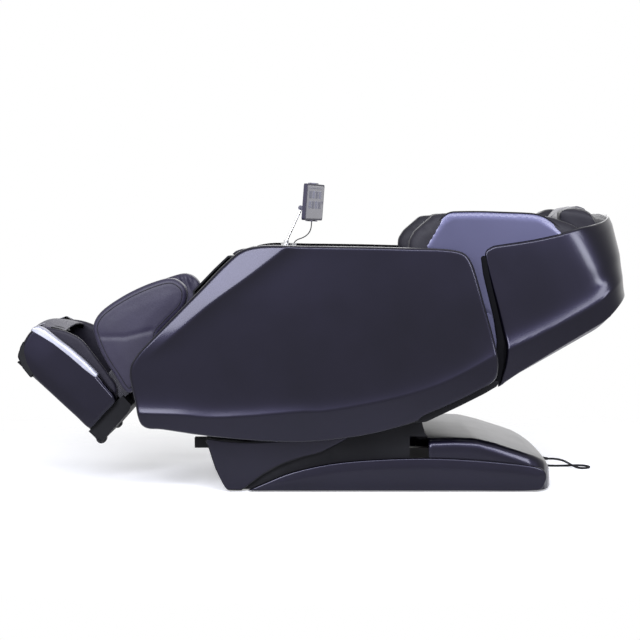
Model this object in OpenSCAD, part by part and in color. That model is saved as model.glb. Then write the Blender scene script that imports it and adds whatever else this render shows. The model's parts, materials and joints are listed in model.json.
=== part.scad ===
// Reclining massage chair in its lying position, millimetres.
// +X points to the head end, +Z up, -Y is the sitter's left side.
// The origin lies on the floor under the middle of the chair.

/* [Stance] */
// Slope of the back above the horizontal
back_angle = 30; // [26:1:34]
// Slope of the lower legs below the horizontal
leg_angle = 47; // [43:1:50]
// Rise of the seat from the hips to the knees
seat_angle = 16; // [12:1:18]

/* [Pivots] */
// Distance of the seat tilt pivot in front of the middle
tilt_x = -240; // [-250:1:-230]
// Height of the seat tilt pivot
tilt_z = 190; // [186:1:196]
// Distance of the back pivot behind the middle
back_x = 300; // [295:1:305]
// Height of the back pivot
back_z = 330; // [325:1:335]
// Distance of the knee pivot in front of the middle
knee_x = -430; // [-435:1:-425]
// Height of the knee pivot
knee_z = 480; // [475:1:485]

/* [Widths] */
// Half width of the chair over the outer side panels
shell_half = 400; // [390:1:430]
// Depth of the space inside each outer side panel
shell_depth = 55; // [45:1:60]
// Gap on each side between the back and the side liners
back_side_gap = 5.7; // [3:0.1:12]
// Thickness of the side covers of the back
back_side_t = 30; // [20:1:32]
// Thickness of the shoulder wings
wing_t = 62; // [50:1:64]
// Gap on each side between the shoulder wings and the back cushion
wing_gap = 10.7; // [2:0.1:20]
// Width of an armrest
arm_w = 84; // [70:1:86]
// Gap on each side between the seat cushion and the armrests
seat_side_gap = 24.7; // [20:0.1:40]
// Half width of the base over its side covers
base_half = 300; // [290:1:320]
// Half width of the leg rest
leg_half = 250; // [242:1:252]
// Thickness of the side pads of the leg rest
calf_pad_t = 65; // [58:1:67]
// Half width of the foot rest
foot_half = 235; // [228:1:248]

/* [Walls] */
// Wall of the moulded covers
wall = 5; // [3:0.5:7]
// Thickness of the steel plates
plate_t = 8; // [6:0.5:10]
// Thickness of the sheet trays
tray_t = 6; // [3:0.5:8]
// Thickness of the side liners
liner_t = 4; // [3:0.5:5]
// Thickness of the back cushion
cushion_t = 46; // [36:1:46]
// Thickness of the seat cushion
seat_t = 70; // [55:1:80]

/* [Shafts and fits] */
// Radius of the seat tilt shaft
tilt_r = 12; // [10:0.5:14]
// Radius of the back and knee shafts
pivot_r = 10; // [8:0.5:12]
// Radial clearance of a turning shaft
run_gap = 0.06; // [0.03:0.01:0.1]
// Gap between parts that slide or pass each other
slide_gap = 0.5; // [0.3:0.1:1]
// Gap between parts that rest on each other
seat_gap = 0.3; // [0.2:0.05:0.4]
// Radius of the foot rest slide rods
slide_r = 10; // [8:0.5:11]
// Radius of the drive pins
pin_r = 5; // [4:0.5:6]
// Stroke of the foot rest
foot_travel = 120; // [80:5:130]

/* [Base] */
// Radius of the rubber feet
foot_pad_r = 22; // [16:1:26]
// Height of the rubber feet
foot_pad_h = 14; // [12:1:18]
// Side of the square base tubes
base_tube = 40; // [30:1:44]
// From the side of the base column to the inner side of the long base tubes
rail_inset = 96; // [94:1:106]
// Radius of the transport wheels
wheel_r = 26; // [22:1:28]

/* [Tablet] */
// Width of the tablet
tablet_w = 170; // [150:1:190]
// Height of the tablet
tablet_h = 122; // [105:1:124]
// Thickness of the tablet
tablet_t = 12; // [9:0.5:14]

/* [Mains lead] */
// Diameter of the mains lead
lead_d = 7; // [6:0.5:8]
// Diameter of the tablet cable
cable_d = 3.6; // [3:0.2:4]

/* [Hidden] */
$fn = 48;

// Colours
paint = [0.15, 0.14, 0.21];
dark = [0.08, 0.08, 0.11];
hide = [0.17, 0.16, 0.23];
steel = [0.45, 0.46, 0.48];
bright = [0.72, 0.73, 0.76];
rubber = [0.05, 0.05, 0.05];

// Planes across the chair
liner_y = shell_half - shell_depth;
arm_out = liner_y - liner_t - seat_gap;
arm_in = arm_out - arm_w;
seat_half = arm_in - seat_side_gap;
back_half = arm_out - back_side_gap;
back_in = back_half - back_side_t;
wing_out = back_in - seat_gap;
wing_in = wing_out - wing_t;
frame_y = seat_half - 2;
upright_y = 168;
back_plate_y = frame_y - plate_t - 8;
column_half = base_half - 14;
rim = 27;
flank_t = 16;
column_in = column_half - flank_t - wall;

// Outline of the outer side panel, from the front tip over the top
panel_outline = [[-571, 370], [-559, 404], [-481, 491], [-366, 608], [-294, 682], [-251, 717],
                 [-200, 731], [205, 726], [362, 719], [393, 708], [411, 685], [449, 562],
                 [484, 433], [487, 381], [473, 353], [436, 324], [350, 280], [265, 234],
                 [150, 193], [35, 173], [-81, 164], [-225, 170], [-368, 185], [-483, 202],
                 [-526, 205], [-544, 220], [-555, 275]];
// Flat of the panel's face, between its upper and its lower crease
panel_face = [[-530, 345], [-510, 382], [-395, 468], [-280, 563], [-166, 662], [-103, 712], [360, 708],
              [398, 670], [470, 430], [321, 358], [149, 310], [-80, 270], [-425, 245], [-530, 255]];

// Outline of the back's side cover, in the frame of the back
back_side_outline = [[162, -93], [163, -114], [239, -106], [375, -100], [512, -96], [582, -95],
                     [613, -39], [641, 28], [678, 130], [656, 163], [539, 191], [428, 229],
                     [357, 255], [340, 251], [280, 85], [223, -63]];
// Outline of the shoulder wings, in the frame of the back
wing_outline = [[214, 8.3], [133, 381], [179, 418], [254, 433], [345, 390], [427, 335], [555, 252],
                [601, 198], [628, 145], [630, 107], [580, 107], [580, 8.3]];

// Outline of the column under the seat, from the top front down and back
column_outline = [[-362, 160], [-354, 134], [-333, 69], [-297, 6], [244, 6], [244, 164], [298, 164],
                  [288, 174], [279, 212], [200, 196], [100, 172], [-240, 150]];
// Proud front flank of the column, above its arch
flank_outline = [[-362, 160], [-354, 134], [-333, 69], [-297, 6], [-257, 5], [-194, 51], [-141, 81],
                 [-82, 102], [-20, 118], [60, 166], [-240, 150]];
// Upper edge of the base's proud side covers
base_side_outline = [[-240, 5], [-185, 28], [-112, 58], [7, 85], [154, 99], [331, 102], [508, 90],
                     [626, 76], [650, 58], [640, 20], [606, 5]];
dome_top = [[250, 20], [250, 158], [430, 162], [536, 139], [612, 117], [655, 92], [672, 70], [672, 5],
            [250, 5]];
dome_edge = [[250, 5], [250, 150], [383, 157], [451, 151], [511, 130], [600, 98], [628, 80], [640, 5]];

// Outlines of the leg and foot rests, in the frame of the leg
calf_outline = [[-255, -14], [-196, 186], [-177, 210], [-139, 221], [-51, 205], [46, 166], [91, 135],
                [103, 105], [98, 72], [60, 44], [-60, 44], [-110, -14]];
foot_outline = [[-418, 3], [-418, 43], [-415, 240], [-411, 283], [-382, 318], [-341, 331], [-305, 332],
                [-295, 115], [-287, 10]];
heel_outline = [[-428, -49], [-300, -46], [-280, -40], [-277, 0], [-294, 2], [-426, 2]];

// Drive levers: height of each pin line under its pivot, and how the lever leans at rest
knee_pin_h = 57;
knee_lean = 16;
knee_swing = 26;
back_pin_h = 84;
back_lean = 14;
tilt_pin_x = 106;
tilt_pin_z = 208;
tilt_lean = 9;
tilt_y = -50;
tilt_drive_l = 126;
knee_rod_z = knee_z - knee_pin_h;
knee_pin_x = knee_x + knee_pin_h * tan(knee_lean);
back_rod_z = back_z - back_pin_h;
back_pin_x = back_x - back_pin_h * tan(back_lean);
lever_gap = 1.2;
lever_w = 25;
lever_t = 14;

// Massage mechanism, in the frame of the back
carriage_x = 150;
carriage_l = 120;
carriage_half = 124.5;
rail_y = carriage_half + slide_gap;
knead_x = carriage_x + carriage_l / 2;
knead_z = 18;
knead_shaft_r = 8;
pad_z = 66;

// Base heights
base_deck = foot_pad_h + base_tube;
panel_x = 672;
switch_y = 77;
switch_pin_x = panel_x + 2.15;
gland_y = 120;
gland_z = 34;
wheel_x = 560;
wheel_z = wheel_r + 3;
wheel_y = column_half - 31;
base_rail_y = column_half - rail_inset;
wheel_plate_y = base_rail_y + base_tube - 1;

// Foot rest
sole_x = -418;
rod_z = -20;
rod_y = 100;
roller_x = -405;
roller_r = 8;
roller_z = 150;
floor_wheel_x = -424;
floor_wheel_z = -40;
floor_wheel_r = 16;

// Tablet on the right armrest
stand_x = -137;
stand_y = arm_out - 22;
stand_z = 722 + seat_gap;
ball_x = -85;
ball_z = 851;
ball_r = 9;
tablet_x = -46;
tablet_z = 870;
tablet_yaw = -20;
tablet_lean = 4.5;

// Route of the tablet cable, from the tablet's lower edge to the stand's foot
cable_route = [[-51.7, 318.6, 801.9], [-51.9, 318.5, 794], [-52.6, 318.3, 785], [-55.2, 318.1, 775],
               [-61, 318, 765], [-71, 318, 756], [-81, 318, 750], [-91, 318, 747], [-101, 318, 744],
               [-108, 318, 739], [-111, 318, 731.9]];
// Route of the mains lead, from its relief to the coil behind the base
lead_route = [[722, 120, 30], [740, 120, 30], [758, 119, 28], [776, 115, 23], [793, 108, 14],
              [808, 100, 7], [822, 95, 3.5], [838, 96, 3.5], [851, 105, 3.5], [856, 120, 3.5],
              [850, 135, 3.5], [836, 145, 3.5], [818, 147, 3.5], [798, 144, 3.5], [776, 140, 3.5],
              [752, 138, 3.5], [728, 142, 3.5], [709, 156, 3.5], [698, 178, 3.5], [695, 205, 3.5],
              [694, 230, 3.5], [690, 255, 3.5], [680, 278, 3.5], [664, 296, 3.5], [644, 308, 3.5],
              [622, 314, 3.5], [602, 317, 3.5]];
coil_turn_d = 77;
coil_x = 590;
coil_y = 361;
coil_h = 14;

// ---------- shapes that repeat ----------

// Outline in the X-Z plane, extruded from y0 to y1
module plate(points, y0, y1) {
    translate([0, max(y0, y1), 0]) rotate([90, 0, 0]) linear_extrude(abs(y1 - y0)) polygon(points);
}

// The same outline moved inwards by d
module inset_plate(points, y0, y1, d) {
    translate([0, max(y0, y1), 0]) rotate([90, 0, 0]) linear_extrude(abs(y1 - y0))
        offset(delta = -d) polygon(points);
}

// Block between two corners
module slab(a, b) {
    translate(a) cube(b - a);
}

// Round bar across the chair
module bar_y(x, z, r, y0, y1) {
    translate([x, y1, z]) rotate([90, 0, 0]) cylinder(r = r, h = y1 - y0);
}

// Square tube along X, open at its ends
module tube_x(x0, x1, y0, y1, z0, z1) {
    difference() {
        slab([x0, y0, z0], [x1, y1, z1]);
        slab([x0 - 1, y0 + 3, z0 + 3], [x1 + 1, y1 - 3, z1 - 3]);
    }
}

module in_back() {
    translate([back_x, 0, back_z]) rotate([0, -back_angle, 0]) children();
}

module in_leg() {
    translate([knee_x, 0, knee_z]) rotate([0, -leg_angle, 0]) children();
}

// Pieces that stand on both sides of the chair
module both_sides() {
    children();
    mirror([0, 1, 0]) children();
}

// Lever plate from a pivot down to its slotted end
module lever(h, reach, w, t) {
    difference() {
        translate([-w / 2, -t / 2, -reach - pin_r - 8]) cube([w, t, reach + pin_r + 8]);
        for (z = [-h, -reach]) translate([0, 0, z]) rotate([90, 0, 0])
            cylinder(r = pin_r + lever_gap, h = t + 2, center = true);
        translate([-pin_r - lever_gap, -t / 2 - 1, -reach]) cube([2 * (pin_r + lever_gap), t + 2, reach - h]);
    }
}

// Tube swept along a route with n sides
function unit(v) = v / norm(v);
function heading(p, i) = unit(p[min(i + 1, len(p) - 1)] - p[max(i - 1, 0)]);
function side_axis(t) = unit(cross(t, abs(t[2]) < 0.9 ? [0, 0, 1] : [0, 1, 0]));
module sweep(p, r, n) {
    points = [for (i = [0 : len(p) - 1]) let (t = heading(p, i), s = side_axis(t), u = cross(s, t))
              for (k = [0 : n - 1]) p[i] + r * (cos(360 * k / n) * s + sin(360 * k / n) * u)];
    last = n * (len(p) - 1);
    faces = concat([[for (k = [0 : n - 1]) k]], [[for (k = [0 : n - 1]) last + n - 1 - k]],
                   [for (i = [0 : len(p) - 2]) for (k = [0 : n - 1])
                    [i * n + k, (i + 1) * n + k, (i + 1) * n + (k + 1) % n, i * n + (k + 1) % n]]);
    polyhedron(points, faces);
}

// ---------- base ----------

module base_frame() {
    color(steel) difference() {
        union() {
            both_sides() tube_x(-285, 640, base_rail_y, base_rail_y + base_tube, foot_pad_h, base_deck);
            for (x = [-285, -190, 110, 600])
                slab([x, -base_rail_y, foot_pad_h], [x + base_tube, base_rail_y, base_deck]);
            both_sides() {
                plate([[-284, 30], [-151, 30], [tilt_x + 26, tilt_z + 22], [tilt_x - 26, tilt_z + 22]],
                      upright_y - plate_t, upright_y);
                bar_y(tilt_x, tilt_z, tilt_r + 9, upright_y - plate_t - 6, upright_y + 6);
                plate([[wheel_x - 16, 30], [wheel_x - 16, wheel_z + 12], [wheel_x + 16, wheel_z + 12],
                       [wheel_x + 16, 30]], wheel_plate_y, wheel_plate_y + plate_t);
            }
            for (s = [-1, 1]) translate([110, tilt_y + 27.3 * s - 3, base_deck - 10]) cube([36, 6, 44]);
            both_sides() {
                for (x = [-220, 40]) slab([x, wheel_plate_y, 20], [x + 40, column_in - seat_gap, 30]);
                for (x = [330, 470]) slab([x, wheel_plate_y, 20], [x + 40, column_half - wall - seat_gap, 30]);
            }
        }
        bar_y(tilt_x, tilt_z, tilt_r + run_gap, -frame_y, frame_y);
        bar_y(wheel_x, wheel_z, 6 + run_gap, -column_half, column_half);
    }
}

module base_column() {
    color(dark) {
        difference() {
            plate(column_outline, -column_half + flank_t, column_half - flank_t);
            inset_plate(column_outline, -column_in, column_in, wall);
            slab([-346, -column_in, 120], [262, column_in, 260]);
            slab([-292, -column_in, 0], [300, column_in, 130]);
        }
        both_sides() plate(flank_outline, column_half - flank_t - 1, column_half);
    }
}

module base_dome() {
    color(paint) difference() {
        hull() {
            plate(dome_top, -column_half + 70, column_half - 70);
            plate(dome_edge, -column_half, column_half);
        }
        hull() {
            inset_plate(dome_top, -column_half + 74, column_half - 74, wall);
            inset_plate(dome_edge, -column_half + wall, column_half - wall, wall);
        }
        slab([244, -column_half + wall, 0], [630, column_half - wall, 60]);
        slab([240, -column_half - 1, 0], [299, column_half + 1, 200]);
        slab([panel_x - 12, 59, 25], [panel_x + 2, 95, 53]);
        translate([panel_x - 12, gland_y, gland_z]) rotate([0, 90, 0]) cylinder(r = 9, h = 14);
        both_sides() slab([wheel_x - wheel_r - 4, wheel_y - 18, -1], [wheel_x + wheel_r + 4, column_half + 1, 60]);
    }
}

module base_side(y0, y1) {
    color(paint) plate(base_side_outline, y0, y1);
}

module base_side_left() {
    base_side(-base_half, -column_half - seat_gap);
}

module base_side_right() {
    base_side(column_half + seat_gap, base_half);
}

module base_feet() {
    color(rubber) for (x = [-262, 160, 600]) both_sides()
        translate([x, base_rail_y + base_tube / 2, 0]) cylinder(r1 = foot_pad_r - 3, r2 = foot_pad_r, h = foot_pad_h);
}

module stop_blocks() {
    color(rubber) both_sides()
        plate([[-401, 121], [-401, 151], [-359.6, 151], [-354.4, 134], [-350.2, 121]], 185, 215);
}

// Frame of the tilt drive, its origin at the foot and Z along the rod
module in_tilt_drive() {
    translate([tilt_pin_x, tilt_y, tilt_pin_z]) rotate([0, -tilt_lean, 0])
        translate([0, 0, -tilt_drive_l]) children();
}

module tilt_actuator() {
    color(dark) in_tilt_drive() difference() {
        union() {
            cylinder(r = 22, h = 96);
            translate([-24, -24, -25]) cube([48, 48, 36]);
            translate([20, -20, 12]) cube([50, 40, 40]);
        }
        translate([0, 0, 1]) cylinder(r = 11 + slide_gap, h = 100);
    }
}

module tilt_rod() {
    color(bright) in_tilt_drive() {
        translate([0, 0, 4]) cylinder(r = 11, h = tilt_drive_l - 30);
        translate([-9, -7.5, tilt_drive_l - 27]) cube([18, 15, 35]);
        translate([0, 0, tilt_drive_l]) rotate([90, 0, 0]) cylinder(r = pin_r, h = 36, center = true);
    }
}

module power_panel() {
    color(dark) difference() {
        slab([panel_x + seat_gap, 40, 18], [panel_x + 4, 160, 60]);
        slab([panel_x - 1, switch_y - 15, 28], [panel_x + 5, switch_y + 15, 50]);
        translate([switch_pin_x, switch_y, 24.7]) cylinder(r = 1.2 + run_gap, h = 28.6);
        translate([panel_x - 1, gland_y, gland_z]) rotate([0, 90, 0]) cylinder(r = 8, h = 9);
    }
}

module power_switch() {
    color([0.4, 0.05, 0.05]) {
        difference() {
            slab([panel_x - 2, switch_y - 13.5, 28 + seat_gap], [panel_x + 6.5, switch_y + 13.5, 50 - seat_gap]);
            for (s = [-1, 1]) translate([panel_x + 6.5, switch_y, 28]) rotate([0, 0, 4 * s])
                translate([0, s * 9 - 9, 0]) cube([4, 18, 22]);
        }
        translate([switch_pin_x, switch_y, 25]) cylinder(r = 1.2, h = 28);
    }
}

module cord_gland() {
    color(rubber) translate([panel_x + seat_gap, gland_y, gland_z]) {
        rotate([0, 90, 0]) cylinder(r = 7.9, h = 10 - seat_gap);
        translate([10 - seat_gap, 0, 0]) rotate([0, 90 + 5.7, 0]) cylinder(r1 = 7.5, r2 = 4.4, h = 40);
    }
}

module power_cord() {
    color(rubber) sweep(lead_route, lead_d / 2, 8);
}

module cord_coil() {
    color(rubber) translate([coil_x, coil_y, 0])
        rotate_extrude() translate([coil_turn_d / 2 - lead_d, 0]) square([2 * lead_d, coil_h]);
}

module power_plug() {
    color(rubber) translate([coil_x - 18, coil_y + 17, coil_h]) {
        slab([0, 0, 0], [36, 28, 20]);
        for (y = [7, 21]) translate([36, y, 10]) rotate([0, 90, 0]) cylinder(r = 2.4, h = 19);
    }
}

module transport_wheels() {
    color(rubber) {
        bar_y(wheel_x, wheel_z, 6, -wheel_y - 6, wheel_y + 6);
        both_sides() bar_y(wheel_x, wheel_z, wheel_r, wheel_y - 12, wheel_y + 6);
    }
}

// ---------- seat and shell ----------

seat_rail = [[knee_x - 30, knee_z - 14], [knee_x - 18, knee_z + 26], [knee_x + 18, knee_z + 28],
             [-380, 506], [-255, 520], [228, 382], [back_x + 22, back_z + 24], [back_x + 26, back_z - 18],
             [back_x - 10, back_z - 32], [140, 290], [-60, 290], [tilt_x + 50, tilt_z - 4],
             [tilt_x + 10, tilt_z - 26], [tilt_x - 22, tilt_z - 16], [tilt_x - 26, tilt_z + 12],
             [-205, 330], [-400, 440]];
arm_bottom = 466;
cross_z = 348;
cross_r = 13;
hang_z = cross_z - cross_r - seat_gap;
outrigger_r = 14;
outriggers = [[-330, arm_bottom - outrigger_r - seat_gap], [-60, arm_bottom - outrigger_r - seat_gap],
              [215, 345]];

module seat_frame() {
    color(steel) difference() {
        union() {
            both_sides() {
                plate(seat_rail, frame_y - plate_t, frame_y);
                for (p = outriggers) bar_y(p[0], p[1], outrigger_r, frame_y - 1, liner_y - liner_t - seat_gap);
                plate([[-150, 398], [-196, 420], [-196, 446], [-140, 446], [-110, 410]], 24, 30);
                plate([[-95, 232], [-95, 262], [-30, 345], [0, 345], [-52, 232]], 24, 30);
            }
            for (s = [-1, 1]) plate([[92, 360], [86, 196], [126, 196], [136, 350]],
                                    tilt_y + 11 * s - 3, tilt_y + 11 * s + 3);
            for (p = [[-140, 405], [-20, 350], [115, cross_z], [190, 345]])
                bar_y(p[0], p[1], cross_r, -frame_y + 1, frame_y - 1);
            seat_pan();
        }
        bar_y(tilt_x, tilt_z, tilt_r, -frame_y - 1, frame_y + 1);
        for (p = [[knee_x, knee_z], [back_x, back_z]]) bar_y(p[0], p[1], pivot_r, -frame_y - 1, frame_y + 1);
        tilt_slot();
    }
}

// Slot in the lift brackets that the tilt rod's pin works in
module tilt_slot() {
    for (x = [-2, 2]) bar_y(tilt_pin_x + x, tilt_pin_z, pin_r + lever_gap, tilt_y - 20, tilt_y + 20);
    slab([tilt_pin_x - 2, tilt_y - 20, tilt_pin_z - pin_r - lever_gap],
         [tilt_pin_x + 2, tilt_y + 20, tilt_pin_z + pin_r + lever_gap]);
}

module in_seat() {
    translate([230, 0, 392]) rotate([0, seat_angle, 0]) children();
}

module seat_pan() {
    in_seat() slab([-500, -frame_y + 1, -12], [-10, frame_y - 1, -6]);
}

module pivot_shafts() {
    color(bright) {
        bar_y(tilt_x, tilt_z, tilt_r, -frame_y - 6, frame_y + 6);
        bar_y(knee_x, knee_z, pivot_r, -frame_y - 6, frame_y + 6);
        bar_y(back_x, back_z, pivot_r, -frame_y - 6, frame_y + 6);
    }
}

module side_panel() {
    color(paint) difference() {
        hull() {
            plate(panel_outline, liner_y, liner_y + rim);
            plate(panel_face, shell_half - 1, shell_half);
        }
        hull() {
            inset_plate(panel_outline, liner_y - 1, liner_y + rim - wall, wall);
            inset_plate(panel_face, shell_half - wall - 1, shell_half - wall, wall);
        }
    }
}

module side_panel_right() {
    side_panel();
}

module side_panel_left() {
    mirror([0, 1, 0]) side_panel();
}

module side_liners() {
    color(dark) both_sides()
        inset_plate(panel_outline, liner_y - liner_t, liner_y - 0.1, 2);
}

arm_outline = [[-385, arm_bottom], [-392, 600], [-330, 664], [-290, 702], [-5, 702], [8, 690],
               [8, arm_bottom]];

module arm_shell() {
    color(dark) difference() {
        plate(arm_outline, arm_in, arm_out);
        inset_plate(arm_outline, arm_in + wall, arm_out + 1, wall);
    }
}

module arm_shell_right() {
    arm_shell();
}

module arm_shell_left() {
    mirror([0, 1, 0]) arm_shell();
}

module arm_pad() {
    color(hide) plate([[-286, 702 + seat_gap], [-270, 716], [-256, 722], [-20, 722], [-8, 716],
                       [-4, 702 + seat_gap]], arm_in + 4, arm_out);
}

module arm_pad_right() {
    arm_pad();
}

module arm_pad_left() {
    mirror([0, 1, 0]) arm_pad();
}

// Cushion that narrows at the knees, so that the calf pads swing past it
module seat_cushion() {
    nose_half = leg_half - calf_pad_t - 9;
    color(hide) in_seat() {
        slab([-470, -seat_half, -6 + seat_gap], [-20, seat_half, seat_t - 6]);
        slab([-570, -nose_half, -6 + seat_gap], [-469, nose_half, seat_t - 10]);
    }
}

module under_tray() {
    color(dark) {
        plate([[-415, 330], [-500, 232], [-506, 214], [-486, 205], [-398, 194], [-398, 194 + tray_t],
               [-484, 211], [-498, 219], [-494, 230], [-410, 325]], -liner_y + liner_t + seat_gap,
              liner_y - liner_t - seat_gap);
        plate([[150, 200], [212, 222], [209, 228], [148, 206]], -liner_y + liner_t + seat_gap,
              liner_y - liner_t - seat_gap);
    }
}

module control_box() {
    color(dark) slab([-10, frame_y - 170, hang_z - 39], [130, frame_y - 30, hang_z]);
}

module air_pump() {
    color(dark) {
        slab([30, 30 - frame_y, hang_z - 39], [120, 150 - frame_y, hang_z]);
        for (x = [56, 94]) translate([x, 90 - frame_y, hang_z - 73]) cylinder(r = 18, h = 35);
    }
}

module back_actuator() {
    color(dark) difference() {
        union() {
            translate([-80, 0, back_rod_z]) rotate([0, 90, 0]) cylinder(r = 20, h = 250);
            slab([-92, -23.7, back_rod_z - 22], [-40, 23.7, back_rod_z + 20]);
        }
        translate([20, 0, back_rod_z]) rotate([0, 90, 0]) cylinder(r = 10 + slide_gap, h = 200);
    }
}

module back_rod() {
    color(bright) {
        translate([30, 0, back_rod_z]) rotate([0, 90, 0]) cylinder(r = 10, h = back_pin_x - 30 - 26);
        fork(back_pin_x, back_rod_z, 1);
    }
}

module leg_actuator() {
    color(dark) difference() {
        union() {
            translate([-345, 0, knee_rod_z]) rotate([0, 90, 0]) cylinder(r = 19, h = 190);
            slab([-205, -23.7, knee_rod_z - 22], [-157, 23.7, knee_rod_z + 20]);
        }
        translate([-346, 0, knee_rod_z]) rotate([0, 90, 0]) cylinder(r = 9 + slide_gap, h = 150);
    }
}

module leg_rod() {
    color(bright) {
        translate([knee_pin_x + 25, 0, knee_rod_z]) rotate([0, 90, 0])
            cylinder(r = 9, h = -215 - knee_pin_x - 25);
        fork(knee_pin_x, knee_rod_z, -1);
    }
}

// Rod end with two ears and the drive pin through them; the rod comes from the side -dir
module fork(x, z, dir) {
    translate([x, 0, z]) {
        for (s = [-1, 1]) translate([-21, s * 11 - 3, -10]) mirror([dir < 0 ? 1 : 0, 0, 0])
            translate([dir < 0 ? -42 : 0, 0, 0]) cube([29, 6, 20]);
        translate([dir < 0 ? 21 : -27, -14, -10]) cube([6, 28, 20]);
    }
    bar_y(x, z, pin_r, -16, 16);
}

// ---------- tablet ----------

module tablet_stand() {
    color(bright) {
        translate([stand_x, stand_y, stand_z]) cylinder(r = 20, h = 9);
        slab([stand_x, stand_y - 8, stand_z], [stand_x + 34, stand_y + 8, stand_z + 9]);
        translate([stand_x, stand_y, stand_z + 9 - 0.5]) cylinder(r = 9, h = 12);
        stand_arm();
    }
}

module stand_arm() {
    reach = norm([ball_x - stand_x, ball_z - stand_z - 16]);
    lean = atan2(ball_x - stand_x, ball_z - stand_z - 16);
    difference() {
        union() {
            translate([stand_x, stand_y, stand_z + 16]) rotate([0, lean, 0]) cylinder(r = 4, h = reach);
            in_hinge() cylinder(r = ball_r, h = 14, center = true);
        }
        in_hinge() cylinder(r = 3 + run_gap, h = 16, center = true);
    }
}

// Frame whose Z axis is the tablet's tilt hinge
module in_hinge() {
    translate([ball_x, stand_y, ball_z]) rotate([0, 0, tablet_yaw]) rotate([-90, 0, 0]) children();
}

module in_tablet() {
    translate([tablet_x, stand_y, tablet_z]) rotate([0, 0, tablet_yaw]) rotate([0, tablet_lean, 0]) children();
}

module tablet_case() {
    color(hide) in_tablet()
        rotate([90, 0, 90]) linear_extrude(tablet_t, center = true)
            offset(r = 8) square([tablet_w - 16, tablet_h - 16], center = true);
    color(rubber) in_tablet() translate([0, -2, -tablet_h / 2 - 7]) cylinder(r1 = 2.2, r2 = 3.4, h = 8);
}

module tablet_cradle() {
    color(bright) {
        in_tablet() {
            slab([-tablet_t / 2 - 6, -30, -tablet_h / 2 - 3], [-tablet_t / 2 - seat_gap, 30, tablet_h / 2 + 3]);
            translate([-tablet_t / 2 - 6, -14, tablet_h / 2 + 0.3]) cube([tablet_t + 9, 28, 3.4]);
            for (y = [-30, 16]) translate([-tablet_t / 2 - 6, y, -tablet_h / 2 - 3.7])
                cube([tablet_t + 9, 14, 3.4]);
        }
        in_hinge() {
            cylinder(r = 3, h = 30, center = true);
            for (s = [-1, 1]) translate([0, 0, s * (9.5 + slide_gap) - 2]) {
                cylinder(r = ball_r - 1, h = 4);
                translate([0, -6, 0]) cube([27, 12, 4]);
            }
        }
    }
}

module tablet_cable() {
    color(rubber) sweep(cable_route, cable_d / 2, 8);
}

// ---------- back ----------

module back_frame() {
    color(steel) difference() {
        union() {
            in_back() {
                both_sides() plate([[-24, -20], [-20, 22], [60, 42], [626, 24], [626, -22], [90, -52]],
                                   back_plate_y - plate_t, back_plate_y);
                bar_y(84, 0, 12, -back_plate_y, back_plate_y);
                bar_y(600, 0, 12, -back_in + wall + 2 * seat_gap, back_in - wall - 2 * seat_gap);
                both_sides() {
                    slab([190, back_plate_y - 1, -8], [206, back_in - seat_gap, 8]);
                    for (x = [80, 540])
                        slab([x, back_plate_y - plate_t, 10], [x + 60, back_plate_y, pad_z - seat_gap]);
                }
                bar_y(0, 0, pivot_r + 8, -back_plate_y, back_plate_y);
            }
            translate([back_x, 0, back_z]) rotate([0, back_lean, 0])
                lever(back_pin_h, back_pin_h / cos(back_lean) + 1, lever_w, lever_t);
        }
        bar_y(back_x, back_z, pivot_r + run_gap, -back_plate_y - 1, back_plate_y + 1);
    }
}

module back_cover() {
    color(paint) in_back() difference() {
        union() {
            rotate([90, 0, 90]) translate([0, 0, 128]) linear_extrude(490)
                polygon([[-back_in + seat_gap, -96], [-200, -128], [200, -128], [back_in - seat_gap, -96],
                         [back_in - seat_gap, -88], [198, -121], [-198, -121], [-back_in + seat_gap, -88]]);
            plate([[128, -128], [104, -112], [84, -72], [91, -70], [110, -106], [128, -120]],
                  -190, 190);
        }
        slab([586, -back_in, -140], [640, back_in, 0]);
    }
    color(paint) in_back() difference() {
        rear_shell([[586, -128], [646, -126], [656, -114], [742, 95], [740, 106], [586, 106]],
                   [[586, -96], [613, -39], [641, 28], [671, 106], [586, 106]], 200, back_in - seat_gap);
        rear_shell([[580, -122], [643, -120], [650, -112], [735, 92], [735, 120], [580, 120]],
                   [[580, -90], [607, -36], [635, 30], [667, 120], [580, 120]], 196, back_in - seat_gap - wall);
    }
}

// Rear end of the back: a middle outline blended into narrower ones at the sides
module rear_shell(middle, edge, y_middle, y_edge) {
    hull() {
        plate(middle, -y_middle, y_middle);
        plate(edge, -y_edge, y_edge);
    }
}

module back_side() {
    color(paint) in_back() difference() {
        plate(back_side_outline, back_in, back_half);
        inset_plate(back_side_outline, back_in - 1, back_half - wall, wall);
    }
}

module back_side_right() {
    back_side();
}

module back_side_left() {
    mirror([0, 1, 0]) back_side();
}

module wing() {
    color(hide) in_back() difference() {
        plate(wing_outline, wing_in, wing_out);
        slab([240, wing_in + 14, -20], [560, wing_out + 1, 110]);
    }
}

module wing_right() {
    wing();
}

module wing_left() {
    mirror([0, 1, 0]) wing();
}

module back_cushion() {
    half = wing_in - wing_gap;
    color(hide) in_back() slab([62, -half, pad_z], [628, half, pad_z + cushion_t]);
}

module head_pillow() {
    color(hide) in_back() plate([[455, pad_z + cushion_t + seat_gap], [465, 145], [540, 165], [600, 224],
                                 [636, 236], [662, 229], [688, 197], [688, 186], [633, 181],
                                 [628, pad_z + cushion_t + seat_gap]], -140, 140);
}

module rear_cap() {
    color(hide) in_back() difference() {
        plate([[636, 106 + seat_gap], [636, 178], [718, 158], [742, 138], [740, 106 + seat_gap]],
              -wing_in + 2, wing_in - 2);
        plate([[642, 100], [642, 170], [715, 151], [734, 134], [734, 100]], -wing_in + 8, wing_in - 8);
    }
}

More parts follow.
